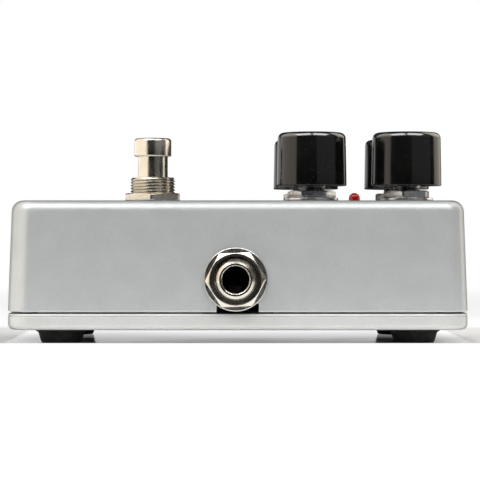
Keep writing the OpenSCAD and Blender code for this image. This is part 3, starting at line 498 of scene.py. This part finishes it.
def lens_red():
    look = Look("lens_red", Metallic=0.0, Transmission_Weight=0.2, IOR=1.5, Coat_Weight=0.2, Coat_Roughness=0.02)
    cloud = look.noise(1.2, 2)
    look.set(Base_Color=look.tint(look.span(cloud, 0.3, 0.7, 0, 1), (0.46, 0.003, 0.002), (0.58, 0.006, 0.004)),
             Roughness=look.span(cloud, 0.3, 0.7, 0.04, 0.09))
    look.bump(cloud, 0.01, 0.2)
    look.shader.inputs["Emission Color"].default_value = (0.9, 0.03, 0.02, 1)
    look.shader.inputs["Emission Strength"].default_value = 0.03
    return look.material


LENS_RED = lens_red()

# ---------- enclosure ----------


def block_loops(half_x, half_y, r, z0, z1, edge_r, dx, dy, foot_r=0.0):
    """Drafted block with a rounded top edge and a smaller rounding at its foot, as loops from the bottom up."""
    loops = [] if foot_r else [loop(half_x, half_y, r, z0)]
    for a in range(0, 91, 15) if foot_r else []:
        inset = foot_r * (1 - math.sin(math.radians(a)))
        loops.append(loop(half_x - inset, half_y - inset, r - inset, z0 + foot_r * (1 - math.cos(math.radians(a)))))
    for inset, z in [(edge_r * (1 - math.cos(math.radians(a))), z1 - edge_r + edge_r * math.sin(math.radians(a)))
                     for a in range(0, 91, 9)]:
        loops.append(loop(half_x - dx - inset, half_y - dy - inset, max(r - inset, 0.05), z))
    return loops


def at_corners(x, y):
    return [(i * x, j * y) for i in (-1, 1) for j in (-1, 1)]


def shell_mesh():
    outer = loft(block_loops(SHELL_L / 2, SHELL_W / 2, CORNER_R, SEAM_Z, TOP_Z, TOP_EDGE_R, DRAFT_END, DRAFT_SIDE,
                             SEAM_EDGE_R))
    cavity = loft(block_loops(SHELL_L / 2 - WALL, SHELL_W / 2 - WALL, CORNER_R - WALL, SEAM_Z - 1, CEILING_Z, 0.9,
                              DRAFT_END, DRAFT_SIDE))
    bosses = [("DIFFERENCE", rod(BOSS_R, 0, 60, (x, y, 0))) for x, y in
              at_corners(SHELL_L / 2 - BOSS_INSET, SHELL_W / 2 - BOSS_INSET)]
    steps = [("DIFFERENCE", carved(cavity, bosses))]
    for i, j in CORNERS.values():
        steps.append(("DIFFERENCE", rod(POT_BUSHING_R + 0.2, CEILING_Z - 2, TOP_Z + 2, (*knob_at(i, j), 0))))
    steps.append(("DIFFERENCE", rod(SWITCH_R + 0.15, CEILING_Z - 2, TOP_Z + 2, (SWITCH_X, 0, 0), segs=96)))
    steps.append(("DIFFERENCE", rod(LED_R + 0.1, CEILING_Z - 2, TOP_Z + 2, (KNOB_GROUP_X, 0, 0))))
    half = JACK_SLOT_W / 2
    outline = [(-half, SEAM_Z - 2)] + [(half, SEAM_Z - 2)] + arc(0, JACK_Z, half, 0, 180, 32)
    for side in (-1, 1):
        y0, y1 = sorted((side * (SHELL_W / 2 - 4), side * (SHELL_W / 2 + 2)))
        steps.append(("DIFFERENCE", loft([[(x, y, z) for x, z in outline] for y in (y0, y1)])))
    east = Matrix.Rotation(math.radians(90), 4, "Y")
    steps.append(("DIFFERENCE", rod(POWER_HOLE_R, SHELL_L / 2 - 6, SHELL_L / 2 + 2, (0, 0, POWER_Z), east)))
    steps += [("DIFFERENCE", rod(SCREW_HOLE_R, 0, COVER_Z + SCREW_L + 2, (x, y, 0), segs=32)) for x, y in
              at_corners(SHELL_L / 2 - BOSS_INSET, SHELL_W / 2 - BOSS_INSET)]
    return softened(carved(outer, steps), 0.22, 40, 2)


def cover_mesh():
    half_x, half_y = SHELL_L / 2, SHELL_W / 2
    loops = []
    for a in range(0, 91, 10):
        inset = COVER_BOTTOM_R * (1 - math.sin(math.radians(a)))
        loops.append(loop(half_x - inset, half_y - inset, CORNER_R - inset,
                          COVER_Z + COVER_BOTTOM_R * (1 - math.cos(math.radians(a)))))
    for inset, drop in ((0, 0.86), (0.2, 0.68), (0.2, 0.56)):  # parting groove under the top edge
        loops.append(loop(half_x - inset, half_y - inset, CORNER_R - inset, COVER_TOP - drop))
    for a in range(0, 91, 15):
        inset = COVER_TOP_R * (1 - math.cos(math.radians(a)))
        loops.append(loop(half_x - inset, half_y - inset, CORNER_R - inset,
                          COVER_TOP - COVER_TOP_R * (1 - math.sin(math.radians(a)))))
    lip = loft([loop(half_x - WALL - 0.25, half_y - WALL - 0.25, CORNER_R - WALL, z) for z in (COVER_TOP - 1, COVER_TOP + 1)])
    lip_cuts = [("DIFFERENCE", rod(BOSS_R + 0.3, COVER_TOP, COVER_TOP + 3, (x, y, 0))) for x, y in
                at_corners(half_x - BOSS_INSET, half_y - BOSS_INSET)]
    for side in (-1, 1):
        y0, y1 = sorted((side * (half_y - 8), side * (half_y + 2)))
        lip_cuts.append(("DIFFERENCE", box(-9, 9, y0, y1, COVER_TOP, COVER_TOP + 3)))
    tray = loft([loop(half_x - 4, half_y - 4, 2, z) for z in (COVER_Z + COVER_FLOOR, COVER_TOP + 3)])
    tray = carved(tray, [("DIFFERENCE", rod(BOSS_R + 0.3, COVER_Z, COVER_TOP, (x, y, 0))) for x, y in
                         at_corners(half_x - BOSS_INSET, half_y - BOSS_INSET)])
    steps = [("UNION", carved(lip, lip_cuts)), ("DIFFERENCE", tray)]
    sink = rounded([(0, -1, 0), (SCREW_HEAD_R + 0.15, -1, 0), (SCREW_HEAD_R + 0.15, 0, 0),
                    (SCREW_HOLE_R + 0.1, SCREW_HEAD_H, 0), (SCREW_HOLE_R + 0.1, 12, 0), (0, 12, 0)], closed=False)
    steps += [("DIFFERENCE", moved(lathe(sink, 48), (x, y, COVER_Z))) for x, y in
              at_corners(half_x - BOSS_INSET, half_y - BOSS_INSET)]
    return softened(carved(loft(loops), steps), 0.15, 40, 2)


def screw_mesh():
    ridges = []
    z = 4.0
    while z < SCREW_L - 0.5:
        ridges += [(SCREW_R - 0.22, z, 0), (SCREW_R, z + 0.25, 0)]
        z += 0.5
    profile = [(0, 0, 0), (SCREW_HEAD_R - 0.1, 0, 0.08), (SCREW_HEAD_R, 0.12, 0.05), (SCREW_R, SCREW_HEAD_H, 0.1)]
    profile += ridges + [(SCREW_R - 0.22, SCREW_L - 0.3, 0), (SCREW_R - 0.5, SCREW_L, 0), (0, SCREW_L, 0)]
    slots = [("DIFFERENCE", box(-1.5, 1.5, -0.34, 0.34, -1, 0.95)), ("DIFFERENCE", box(-0.34, 0.34, -1.5, 1.5, -1, 0.95))]
    return softened(carved(lathe(rounded(profile, 3, closed=False), 64), slots), 0.05, 40, 1)


def foot_mesh():
    profile = [(0, 0, 0), (5.2, 0, 0.5), (5.95, FOOT_H - 1.25, 0.35), (6.75, FOOT_H - 0.75, 0.25), (6.9, FOOT_H - 0.4, 0.2),
               (6.9, FOOT_H - 0.02, 0.05),
               (0, FOOT_H - 0.02, 0)]
    return lathe(rounded(profile, 5, closed=False), 96)


piece("shell_casting", shell_mesh(), SILVER, "pedal", ["enclosure_shell"], 40, True)
piece("cover_casting", cover_mesh(), COVER_SILVER, "pedal", ["base_plate"], 40, True)
screw = screw_mesh()
foot = foot_mesh()
for name, (i, j) in CORNERS.items():
    at = (i * (SHELL_L / 2 - BOSS_INSET), j * (SHELL_W / 2 - BOSS_INSET), COVER_Z + 0.05)
    turn = Matrix.Rotation(math.radians(23 + 50 * i + 31 * j), 4, "Z")
    piece("cover_screw_" + name, moved(screw.copy(), at, turn), SCREW_ZINC, "pedal", ["base_plate_screws"])
    piece("foot_" + name, moved(foot.copy(), (*FOOT_AT[name], 0)), FOOT_RUBBER, "pedal", ["rubber_feet"], 50)

# ---------- footswitch ----------

switch_at = (SWITCH_X, 0, 0)
tail = rounded([(SWITCH_R - 0.5, TOP_Z + SWITCH_UP, 0), (SWITCH_BORE_R, TOP_Z + SWITCH_UP, 0.35), (SWITCH_BORE_R, SWITCH_HOUSING_TOP, 0.1),
                (SWITCH_FLANGE_R, SWITCH_HOUSING_TOP, 0.1), (SWITCH_FLANGE_R, SWITCH_HOUSING_TOP + 1, 0.1),
                (SWITCH_R - 0.46, SWITCH_HOUSING_TOP + 1, 0)], 4, closed=False)
bushing = threaded(SWITCH_R, 0.46, SWITCH_PITCH, SWITCH_HOUSING_TOP + 1.2, TOP_Z + SWITCH_UP, tail)
piece("footswitch_sleeve", moved(bushing, switch_at), NICKEL, "pedal", ["footswitch_bushing"], 60)
piece("footswitch_top_nut", moved(hex_nut(SWITCH_NUT_AF, SWITCH_NUT_T, SWITCH_R + 0.05, 20), (SWITCH_X, 0, TOP_Z + SWITCH_WASHER_T),
      Matrix.Rotation(math.radians(30), 4, "Z")), NICKEL, "pedal", ["footswitch_nuts"], 14, True)
piece("footswitch_inner_nut", moved(hex_nut(SWITCH_NUT_AF, SWITCH_NUT_T, SWITCH_R + 0.05, 20), (SWITCH_X, 0, 31.35),
      Matrix.Rotation(math.radians(22), 4, "Z")), NICKEL, "pedal", ["footswitch_nuts"], 14, True)
piece("footswitch_washer", moved(ring(SWITCH_WASHER_R, SWITCH_R + 0.1, SWITCH_WASHER_T), (SWITCH_X, 0, TOP_Z)),
      WASHER_NICKEL, "pedal", ["footswitch_washers"])
teeth = [("DIFFERENCE", moved(box(8.2, 11, -0.5, 0.5, -1, 2), turn=Matrix.Rotation(math.radians(a), 4, "Z")))
         for a in range(0, 360, 30)]
piece("footswitch_lock_washer", moved(softened(carved(ring(9.2, SWITCH_R + 0.1, 0.7), teeth), 0.06), (SWITCH_X, 0, 33.38)),
      WASHER_NICKEL, "pedal", ["footswitch_washers"])
cap_z = TOP_Z + BUTTON_TOP - CAP_H
plunger = rounded([(0, 26.7, 0), (2.6, 26.7, 0.2), (2.6, 27.5, 0), (4.7, 27.5, 0.1), (4.7, 28.8, 0.1), (STEM_R, 28.8, 0),
                   (STEM_R, cap_z, 0.12), (CAP_R, cap_z, 0.28), (CAP_R, TOP_Z + BUTTON_TOP, 0.85), (0, TOP_Z + BUTTON_TOP, 0)],
                  8, closed=False)
piece("footswitch_button", moved(lathe(plunger), switch_at), NICKEL_TURNED, "button", ["footswitch_plunger"])



def helix_mesh(r, wire_r, turns, z0, z1, steps=40, sides=10):
    """Round wire wound upwards from z0 to z1 (heights of the wire's axis)."""
    loops = []
    for k in range(int(turns * steps) + 1):
        a = 2 * math.pi * k / steps
        across = Vector((math.cos(a), math.sin(a), 0))
        centre = across * r + Vector((0, 0, z0 + (z1 - z0) * k / (turns * steps)))
        loops.append([centre + wire_r * (math.cos(b) * across + math.sin(b) * Vector((0, 0, 1)))
                      for b in [2 * math.pi * i / sides for i in range(sides)]])
    return loft(loops)


spring = piece("footswitch_coil", moved(helix_mesh(SPRING_R, SPRING_WIRE_R, SPRING_TURNS, SPRING_SEAT_Z + SPRING_WIRE_R,
                                                   COLLAR_Z - 0.1 - SPRING_WIRE_R), switch_at),
               SCREW_ZINC, "pedal", ["footswitch_spring"])
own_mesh(spring)

# ---------- knobs ----------


def knob_mesh():
    top_r = KNOB_R - KNOB_H * math.tan(math.radians(KNOB_DRAFT))
    inner = KNOB_R - 1.5
    roof = KNOB_H - 2.0
    profile = [(0, SHAFT_TOP - KNOB_Z + 0.1, 0), (SHAFT_R + 0.05, SHAFT_TOP - KNOB_Z + 0.1, 0), (SHAFT_R + 0.05, HUB_LIFT, 0.2),
               (HUB_R, HUB_LIFT, 0.25), (HUB_R, roof, 0.4), (inner - 0.4, roof, 0.6), (inner, 0, 0.25), (KNOB_R, 0, 0.3),
               (top_r, KNOB_H, KNOB_EDGE_R), (0, KNOB_H, 0)]
    base = lathe(rounded(profile, 8, closed=False), 160)
    steps = [("UNION", moved(box(HUB_R - 0.3, inner - 0.2, -0.5, 0.5, 4, roof + 0.5), turn=Matrix.Rotation(math.radians(a), 4, "Z")))
             for a in (45, 135, 225, 315)]
    w = POINTER_W / 2
    bar = arc(POINTER_END - w, 0, w, -90, 90, 8) + arc(POINTER_START + w, 0, w, 90, 270, 8)
    steps.append(("DIFFERENCE", prism(bar, KNOB_H - POINTER_DEPTH, KNOB_H + 1)))
    return carved(base, steps)


def pointer_mesh():
    w = POINTER_W / 2 - 0.02
    bar = arc(POINTER_END - w - 0.02, 0, w, -90, 90, 10) + arc(POINTER_START + w + 0.02, 0, w, 90, 270, 10)
    return softened(prism(bar, KNOB_H - POINTER_DEPTH, KNOB_H - 0.02), 0.05, 40, 2)


knob, pointer = knob_mesh(), pointer_mesh()
pot_tail = rounded([(POT_BUSHING_R - 0.3, TOP_Z + POT_BUSHING_UP, 0), (SHAFT_R + 0.05, TOP_Z + POT_BUSHING_UP, 0.1),
                    (SHAFT_R + 0.05, 33.05, 0), (POT_PLATE_R, 33.05, 0.1), (POT_PLATE_R, 34.05, 0.1),
                    (POT_BUSHING_R - 0.22, 34.05, 0)], 4, closed=False)
pot_bushing = threaded(POT_BUSHING_R, 0.22, PITCH, 34.2, TOP_Z + POT_BUSHING_UP, pot_tail, 72, 6)
pot_nut = hex_nut(POT_NUT_AF, POT_NUT_T, POT_BUSHING_R + 0.05, 20, 0.08)
pot_washer = ring(POT_WASHER_R, POT_BUSHING_R + 0.1, POT_WASHER_T, 0.15)
for name, (i, j) in CORNERS.items():
    x, y = knob_at(i, j)
    control = "control_" + name
    piece("knob_cap_" + name, moved(knob.copy(), (x, y, KNOB_Z)), KNOB_BLACK, control, ["knob_" + name], 30)
    piece("knob_mark_" + name, moved(pointer.copy(), (x, y, KNOB_Z)), POINTER_WHITE, control, ["pointer_" + name])
    turn = Matrix.Rotation(math.radians(2 if i < 0 else 17), 4, "Z")
    piece("pot_nut_" + name, moved(pot_nut.copy(), (x, y, TOP_Z + POT_WASHER_T), turn), POT_NICKEL, "pedal", ["pot_nuts"], 30, True)
    piece("pot_washer_" + name, moved(pot_washer.copy(), (x, y, TOP_Z)), WASHER_NICKEL, "pedal", ["pot_washers"])
    piece("pot_sleeve_" + name, moved(pot_bushing.copy(), (x, y, 0)), POT_NICKEL, "pedal", ["pot_bushings"], 60)

# ---------- jacks ----------


def outward(side):
    """Turns +Z to face out of the near (-1) or far (1) wall, with a mesh's +Y kept upright."""
    return Matrix.Rotation(math.radians(90 if side < 0 else -90), 4, "X")


JACK_LIP_R, JACK_LIP_H, JACK_RING_W = 4.1, 0.72, 0.24
jack_tail = rounded([(JACK_R, JACK_TIP - JACK_LIP_H - 0.12, 0), (JACK_R, JACK_TIP - JACK_LIP_H, 0.08), (JACK_LIP_R, JACK_TIP, 0.02),
                     (JACK_BORE_R + JACK_RING_W, JACK_TIP, 0.02), (JACK_BORE_R, JACK_TIP - JACK_RING_W, 0.02), (JACK_BORE_R, JACK_SEAT - 1.4, 0.05),
                     (JACK_R + 0.7, JACK_SEAT - 1.4, 0.1), (JACK_R + 0.7, JACK_SEAT + 0.1, 0.1),
                     (JACK_R - 0.35, JACK_SEAT + 0.1, 0)], 4, closed=False)
jack_bushing = threaded(JACK_R, 0.35, 0.8, JACK_SEAT + 0.3, JACK_TIP - JACK_LIP_H - 0.15, jack_tail)


def leaf_mesh(path, width, thick):
    """Bent strip along 2-D (y, z) points, width along X."""
    pts = [Vector(p) for p in path]
    left, right = [], []
    for k, p in enumerate(pts):
        d = (pts[min(k + 1, len(pts) - 1)] - pts[max(k - 1, 0)]).normalized()
        n = Vector((-d.y, d.x)) * thick / 2
        left.append(p + n)
        right.append(p - n)
    outline = [tuple(p) for p in left + right[::-1]]
    return softened(loft([[(x, y, z) for y, z in outline] for x in (-width / 2, width / 2)]), 0.06, 50, 2)


def curve(points, n=6):
    """Smooth path through corner points, each corner rounded."""
    return rounded([(y, z, r) for y, z, r in points], n, closed=False)


tip_leaf = curve([(-0.3, 0, 0), (12, 0, 2), (13.9, 1.9, 0.9), (14.6, 1.9, 0.8), (15.9, 0.45, 0)])
for side, word in ((-1, "input"), (1, "output")):
    turn = outward(side)
    at = (JACK_X, 0, JACK_Z)
    piece(word + "_jack_sleeve", moved(jack_bushing.copy(), at, turn), NICKEL, "pedal", [word + "_jack_bushing"], 36, True)
    nut = moved(hex_nut(JACK_NUT_AF, JACK_NUT_T, JACK_R + 0.05, sink=0.3), (0, 0, JACK_FACE + JACK_WASHER_T),
                Matrix.Rotation(math.radians(2.6 if side < 0 else 11), 4, "Z"))
    piece(word + "_jack_nut", moved(nut, at, turn), NICKEL, "pedal", ["jack_nuts"], 18, True)
    washer = moved(ring(JACK_WASHER_R, JACK_R + 0.1, JACK_WASHER_T, 0.3), (0, 0, JACK_FACE))
    piece(word + "_jack_washer", moved(washer, at, turn), WASHER_NICKEL, "pedal", ["jack_washers"], 50, True)
    leaf = leaf_mesh(tip_leaf, 3.0, 0.3)
    flip = Matrix.Rotation(math.radians(180), 4, "Z") if side > 0 else Matrix.Identity(4)
    piece(word + "_tip_contact", moved(leaf, (JACK_X, side * 27, 12.3), flip), CONTACT_BRONZE, word + "_contact", [word + "_tip_spring"])

# ---------- power jack ----------

EAST = Matrix.Rotation(math.radians(90), 4, "Y")
socket = rod(POWER_BORE_R, POWER_FRONT - POWER_BORE_L, POWER_FRONT + 1, (0, 0, POWER_Z), EAST)
root_hole = rod(POWER_ROOT_R, POWER_BACK - 1, POWER_FRONT - POWER_BORE_L + 1, (0, 0, POWER_Z), EAST)
leaf_slot = box(POWER_FRONT - POWER_BORE_L - 1, POWER_FRONT - 2, -POWER_LEAF_W / 2 - 0.4, POWER_LEAF_W / 2 + 0.4,
                POWER_BOTTOM - 1, POWER_BOTTOM + 1.9)
mouth = lathe([(POWER_BORE_R - 0.2, POWER_FRONT - 0.5), (POWER_BORE_R + 0.5, POWER_FRONT + 0.2),
               (POWER_BORE_R - 0.2, POWER_FRONT + 0.2)], 64)
moved(mouth, (0, 0, POWER_Z), EAST)
ribs = [("DIFFERENCE", box(x, x + 0.6, side * POWER_W / 2 - 0.3, side * POWER_W / 2 + 0.3, POWER_BOTTOM + 1, POWER_TOP - 1))
        for side in (-1, 1) for x in (42.5, 44.5, 46.5)]
housing = carved(box(POWER_BACK, POWER_FRONT, -POWER_W / 2, POWER_W / 2, POWER_BOTTOM, POWER_TOP),
                 [("DIFFERENCE", m) for m in (socket, root_hole, leaf_slot, mouth)] + ribs)
piece("power_socket", softened(housing, 0.12, 50), BLACK_PLASTIC, "pedal", ["power_jack_housing"], 35, True)
pin = rounded([(0, POWER_BACK - 1.5, 0), (POWER_ROOT_R, POWER_BACK - 1.5, 0.1), (POWER_ROOT_R, POWER_FRONT - POWER_BORE_L, 0),
               (POWER_PIN_R, POWER_FRONT - POWER_BORE_L, 0), (POWER_PIN_R, POWER_FRONT - 1.5, 0.7), (0, POWER_FRONT - 1.5, 0)],
              6, closed=False)
piece("power_pin", moved(lathe(pin, 48), (0, 0, POWER_Z), EAST), NICKEL_TURNED, "pedal", ["power_jack_pin"])
power_leaf = curve([(-0.95, -0.3, 0), (5.45, -0.3, 1), (6.5, 0.6, 0.4), (7.0, 0.6, 0.3), (7.35, 0.25, 0)])
piece("power_contact_leaf", moved(leaf_mesh(power_leaf, POWER_LEAF_W, 0.28), (POWER_FRONT - POWER_BORE_L, 0, POWER_LEAF_Z),
                                  Matrix.Rotation(math.radians(-90), 4, "Z")),
      CONTACT_BRONZE, "power_contact", ["power_jack_spring"])

# ---------- indicator light ----------

lens = rounded([(0, 33.05, 0), (1.9, 33.05, 0.1), (1.9, 34.05, 0.1), (LED_R, 34.05, 0), (LED_R, TOP_Z + LED_UP - LED_R, 0)],
               3, closed=False) + arc(0, TOP_Z + LED_UP - LED_R, LED_R, 6, 90, 14)
piece("indicator_lens", moved(lathe(lens[:-1] + [(0, TOP_Z + LED_UP)], 64), (KNOB_GROUP_X, 0, 0)), LENS_RED, "pedal", ["led_lens"], 40)

# ---------- carried-over CAD nodes ----------

CARRIED = {
    "footswitch_frame": SCREW_ZINC,
    "footswitch_housing": moulded("switch_blue", (0.03, 0.09, 0.34), 0.4),
    "footswitch_terminal_base": moulded("terminal_brown", (0.12, 0.06, 0.03), 0.6),
    "footswitch_terminals": plated("terminal_tin", (0.72, 0.71, 0.66), 0.35),
    "footswitch_rockers": plated("bronze", (0.72, 0.50, 0.26), 0.3),
    "footswitch_wires": moulded("wire_grey", (0.12, 0.12, 0.13), 0.5),
    "pot_cans": plated("can_steel", (0.62, 0.63, 0.64), 0.35),
    "pot_elements": moulded("element_brown", (0.11, 0.06, 0.03), 0.6),
    "pot_pins": plated("pin_tin", (0.74, 0.73, 0.68), 0.35),
    "input_jack_housing": BLACK_PLASTIC,
    "output_jack_housing": BLACK_PLASTIC,
    "jack_terminals": plated("jack_pin", (0.74, 0.70, 0.58), 0.35),
    "led_leads": plated("lead_tin", (0.74, 0.74, 0.74), 0.35),
    "led_spacer": BLACK_PLASTIC,
    "circuit_board": moulded("board_green", (0.015, 0.10, 0.045), 0.35, coat=0.4),
    "integrated_circuits": moulded("chip_epoxy", (0.015, 0.015, 0.015), 0.55),
    "electrolytic_capacitors": moulded("capacitor_blue", (0.02, 0.03, 0.12), 0.35),
    "film_capacitors": moulded("film_red", (0.32, 0.03, 0.02), 0.4),
    "resistors": moulded("resistor_tan", (0.45, 0.34, 0.19), 0.45),
    "battery": moulded("battery_dark", (0.03, 0.03, 0.035), 0.3, coat=0.3),
    "battery_terminals": plated("battery_stud", (0.72, 0.72, 0.73), 0.3),
    "battery_clip": BLACK_PLASTIC,
    "battery_wire_red": moulded("wire_red", (0.40, 0.02, 0.015), 0.45),
    "battery_wire_black": moulded("wire_black", (0.015, 0.015, 0.015), 0.45),
    "foam_pad": moulded("foam_grey", (0.06, 0.06, 0.065), 0.9, 0.5, 0.2, 0.0),
    **{"pot_shaft_" + name: POT_NICKEL for name in CORNERS},
}
for node, material in CARRIED.items():
    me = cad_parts[node].data
    smooth(me, 30)
    me.materials.clear()
    me.materials.append(material)

# ---------- stage: floor, light, camera ----------


def stage_floor():
    """Pale floor that fades to the white of the backdrop away from the pedal. Painted light: to the camera it glows
    brighter away from the pedal and under the pedal's back; to other rays it is pale and glows only near the pedal,
    darkens further off and is black in front.
    """
    radius = 9000
    me = mesh_of([(radius * math.cos(a), radius * math.sin(a), 0) for a in [2 * math.pi * k / 96 for k in range(96)]],
                 [list(range(96))])
    look = Look("floor_white", Metallic=0.0)
    cloud = look.noise(40, 3)
    look.set(Base_Color=look.tint(cloud, (0.86, 0.86, 0.86), (0.90, 0.90, 0.90)))
    look.bump(look.noise(3, 3), 0.01, 0.3)
    look.shader.inputs["Emission Color"].default_value = (1, 1, 1, 1)

    def calc(operation, a, b=0.0):
        return look.add("ShaderNodeMath", {0: a, 1: b}, operation=operation).outputs[0]

    split = look.add("ShaderNodeSeparateXYZ", {0: look.place}).outputs
    reach = [calc("MAXIMUM", calc("SUBTRACT", calc("ABSOLUTE", split[k]), half * MM), 0.0)
             for k, half in ((0, SHELL_L / 2), (1, SHELL_W / 2))]
    away = calc("SQRT", calc("ADD", calc("MULTIPLY", reach[0], reach[0]), calc("MULTIPLY", reach[1], reach[1])))
    look.set(Specular_IOR_Level=look.span(away, 0.0, 0.004, 0.5, 0.1),
             Roughness=calc("MAXIMUM", look.span(cloud, 0.3, 0.7, 0.08, 0.15), look.span(away, 0.0, 0.004, 0, 0.45)))
    # Painted light on the floor seen by the camera: it glows more away from the pedal, leaving it darker close round
    # the pedal, and glows under the pedal, more towards the back.
    painted_light_under_pedal = calc("MULTIPLY", look.span(split[1], -0.004, 0.034, 0, UNDER_GLOW), look.span(away, 0.0, 0.03, 1, 0))
    look.set(Emission_Strength=calc("MAXIMUM", look.span(away, 0.0, 0.03, 0, FLOOR_GLOW), painted_light_under_pedal))
    distance = look.add("ShaderNodeVectorMath", {0: look.place}, operation="LENGTH").outputs["Value"]
    slant = look.add("ShaderNodeSeparateXYZ", {0: look.add("ShaderNodeNewGeometry").outputs["Incoming"]}).outputs[2]
    in_front = calc("MULTIPLY", look.span(split[1], -0.0240, -0.0256, 0, 1), look.span(slant, 0.10, 0.16, 1, 0))
    backdrop = look.add("ShaderNodeEmission", {"Strength": 1.0}).outputs[0]
    fade = calc("MAXIMUM", look.span(distance, 0.16, 0.45, 0, 1), in_front)
    seen = look.add("ShaderNodeMixShader", {0: fade, 1: look.shader.outputs[0], 2: backdrop})
    rays = look.add("ShaderNodeLightPath").outputs
    # Painted light for other rays: the floor is pale only near the pedal and dark further off, glows near the pedal,
    # and is black in front of it, and further in for reflections.
    far = look.span(distance, 0.09, 0.24, 0, 1)
    bounce = look.add("ShaderNodeBsdfDiffuse", {"Color": look.tint(far, (0.80, 0.80, 0.79), (0.04, 0.04, 0.04))}).outputs[0]
    glow = calc("MULTIPLY", look.span(far, 0, 1, BOUNCE_GLOW, 0), look.span(away, 0.0, 0.004, 0, 1))
    bounce = look.add("ShaderNodeAddShader", {0: bounce, 1: look.add("ShaderNodeEmission", {"Strength": glow}).outputs[0]}).outputs[0]
    mirrored = calc("MULTIPLY", look.span(split[1], -0.060, -0.085, 0, 1), rays["Is Glossy Ray"])
    painted_dark_front = calc("MAXIMUM", look.span(split[1], -0.13, -0.16, 0, 1), mirrored)
    bounce = look.add("ShaderNodeMixShader", {0: painted_dark_front, 1: bounce, 2: look.add("ShaderNodeBsdfDiffuse", {"Color": (0, 0, 0, 1)}).outputs[0]}).outputs[0]
    out = look.tree.nodes["Material Output"]
    look.tree.links.new(look.add("ShaderNodeMixShader", {0: rays["Is Camera Ray"], 1: bounce, 2: seen.outputs[0]}).outputs[0], out.inputs["Surface"])
    me.materials.append(look.material)
    obj = bpy.data.objects.new("stage_floor", me)
    bpy.context.scene.collection.objects.link(obj)


def softbox(name, at, aim, width, height, brightness, colour=(1, 1, 1)):
    """Area light at a point in millimetres, facing another, as bright as given however large it is."""
    light = bpy.data.lights.new(name, "AREA")
    light.shape, light.size, light.size_y = "RECTANGLE", width * MM, height * MM
    light.energy = brightness * math.pi * light.size * light.size_y
    light.color = colour
    obj = bpy.data.objects.new(name, light)
    obj.location = Vector(at) * MM
    obj.rotation_mode = "QUATERNION"
    obj.rotation_quaternion = (Vector(aim) - Vector(at)).to_track_quat("-Z", "Y")
    obj.visible_camera = False
    bpy.context.scene.collection.objects.link(obj)
    return obj


def world_light():
    """White to the camera; to everything else, a dark studio with a paler far wall."""
    world = bpy.data.worlds.new("studio")
    bpy.context.scene.world = world
    world.use_nodes = True
    tree = world.node_tree
    tree.nodes.clear()

    def add(kind, **props):
        node = tree.nodes.new(kind)
        for key, value in props.items():
            setattr(node, key, value)
        return node

    coords, dot = add("ShaderNodeTexCoord"), add("ShaderNodeVectorMath", operation="DOT_PRODUCT")
    flat, unit = add("ShaderNodeVectorMath", operation="MULTIPLY"), add("ShaderNodeVectorMath", operation="NORMALIZE")
    flat.inputs[1].default_value = (1, 1, 4)  # keeps the far wall low
    tree.links.new(coords.outputs["Generated"], flat.inputs[0])
    tree.links.new(flat.outputs[0], unit.inputs[0])
    tree.links.new(unit.outputs[0], dot.inputs[0])
    dot.inputs[1].default_value = Vector((-0.28, 1, 0)).normalized()
    back = add("ShaderNodeMapRange", interpolation_type="SMOOTHSTEP")
    for key, value in (("From Min", 0.78), ("From Max", 0.90), ("To Min", 0.0), ("To Max", 1.0)):
        back.inputs[key].default_value = value
    tree.links.new(dot.outputs["Value"], back.inputs["Value"])
    shade = add("ShaderNodeMix", data_type="RGBA")
    shade.inputs["A"].default_value = (*STUDIO_DARK, 1)
    shade.inputs["B"].default_value = (*STUDIO_BACK, 1)
    tree.links.new(back.outputs[0], shade.inputs["Factor"])
    rays = add("ShaderNodeLightPath")
    pick = add("ShaderNodeMix", data_type="RGBA")
    pick.inputs["B"].default_value = (1, 1, 1, 1)
    tree.links.new(rays.outputs["Is Camera Ray"], pick.inputs["Factor"])
    tree.links.new(shade.outputs["Result"], pick.inputs["A"])
    background, out = add("ShaderNodeBackground"), add("ShaderNodeOutputWorld")
    tree.links.new(pick.outputs["Result"], background.inputs["Color"])
    tree.links.new(background.outputs[0], out.inputs[0])


# Strengths of the painted light on the floor: away from the pedal, under its back, and near it for other rays.
FLOOR_GLOW, UNDER_GLOW = 0.45, 0.4
BOUNCE_GLOW = 0.34
STUDIO_DARK = (0.045, 0.045, 0.045)
STUDIO_BACK = (0.75, 0.75, 0.75)
WARM = (1.0, 0.91, 0.80)

stage_floor()
world_light()
softbox("top_left_softbox", (-300, -320, 640), (-300, 0, 0), 560, 520, 3.2)
softbox("top_right_softbox", (330, -320, 640), (330, 0, 0), 560, 520, 3.2)
fill = softbox("front_fill", (0, -900, 260), (0, 0, 20), 1400, 500, 0.9)
fill.visible_glossy = False
left_card = softbox("left_card", (-93, -12, 130), (0, -12, 130), 184, 260, 1.1, WARM)
left_card.visible_diffuse = False
softbox("right_card", (162, 44, 130), (62, -57, 130), 124, 260, 1.3, WARM)
right_wall = softbox("right_wall", (520, -468, 150), (0, 0, 60), 900, 500, 0.17)
right_wall.visible_diffuse = False

camera = bpy.data.cameras.new("camera")
camera.sensor_width = 36
camera.lens = 141.2
camera.shift_y = -0.01875
camera.clip_start, camera.clip_end = 0.01, 50
viewer = bpy.data.objects.new("camera", camera)
viewer.location = Vector((0.57, -505, 28.6)) * MM
viewer.rotation_euler = (math.radians(90), 0, 0)
bpy.context.scene.collection.objects.link(viewer)
bpy.context.scene.camera = viewer
bpy.context.scene.view_settings.view_transform = "Standard"

bpy.context.view_layer.update()
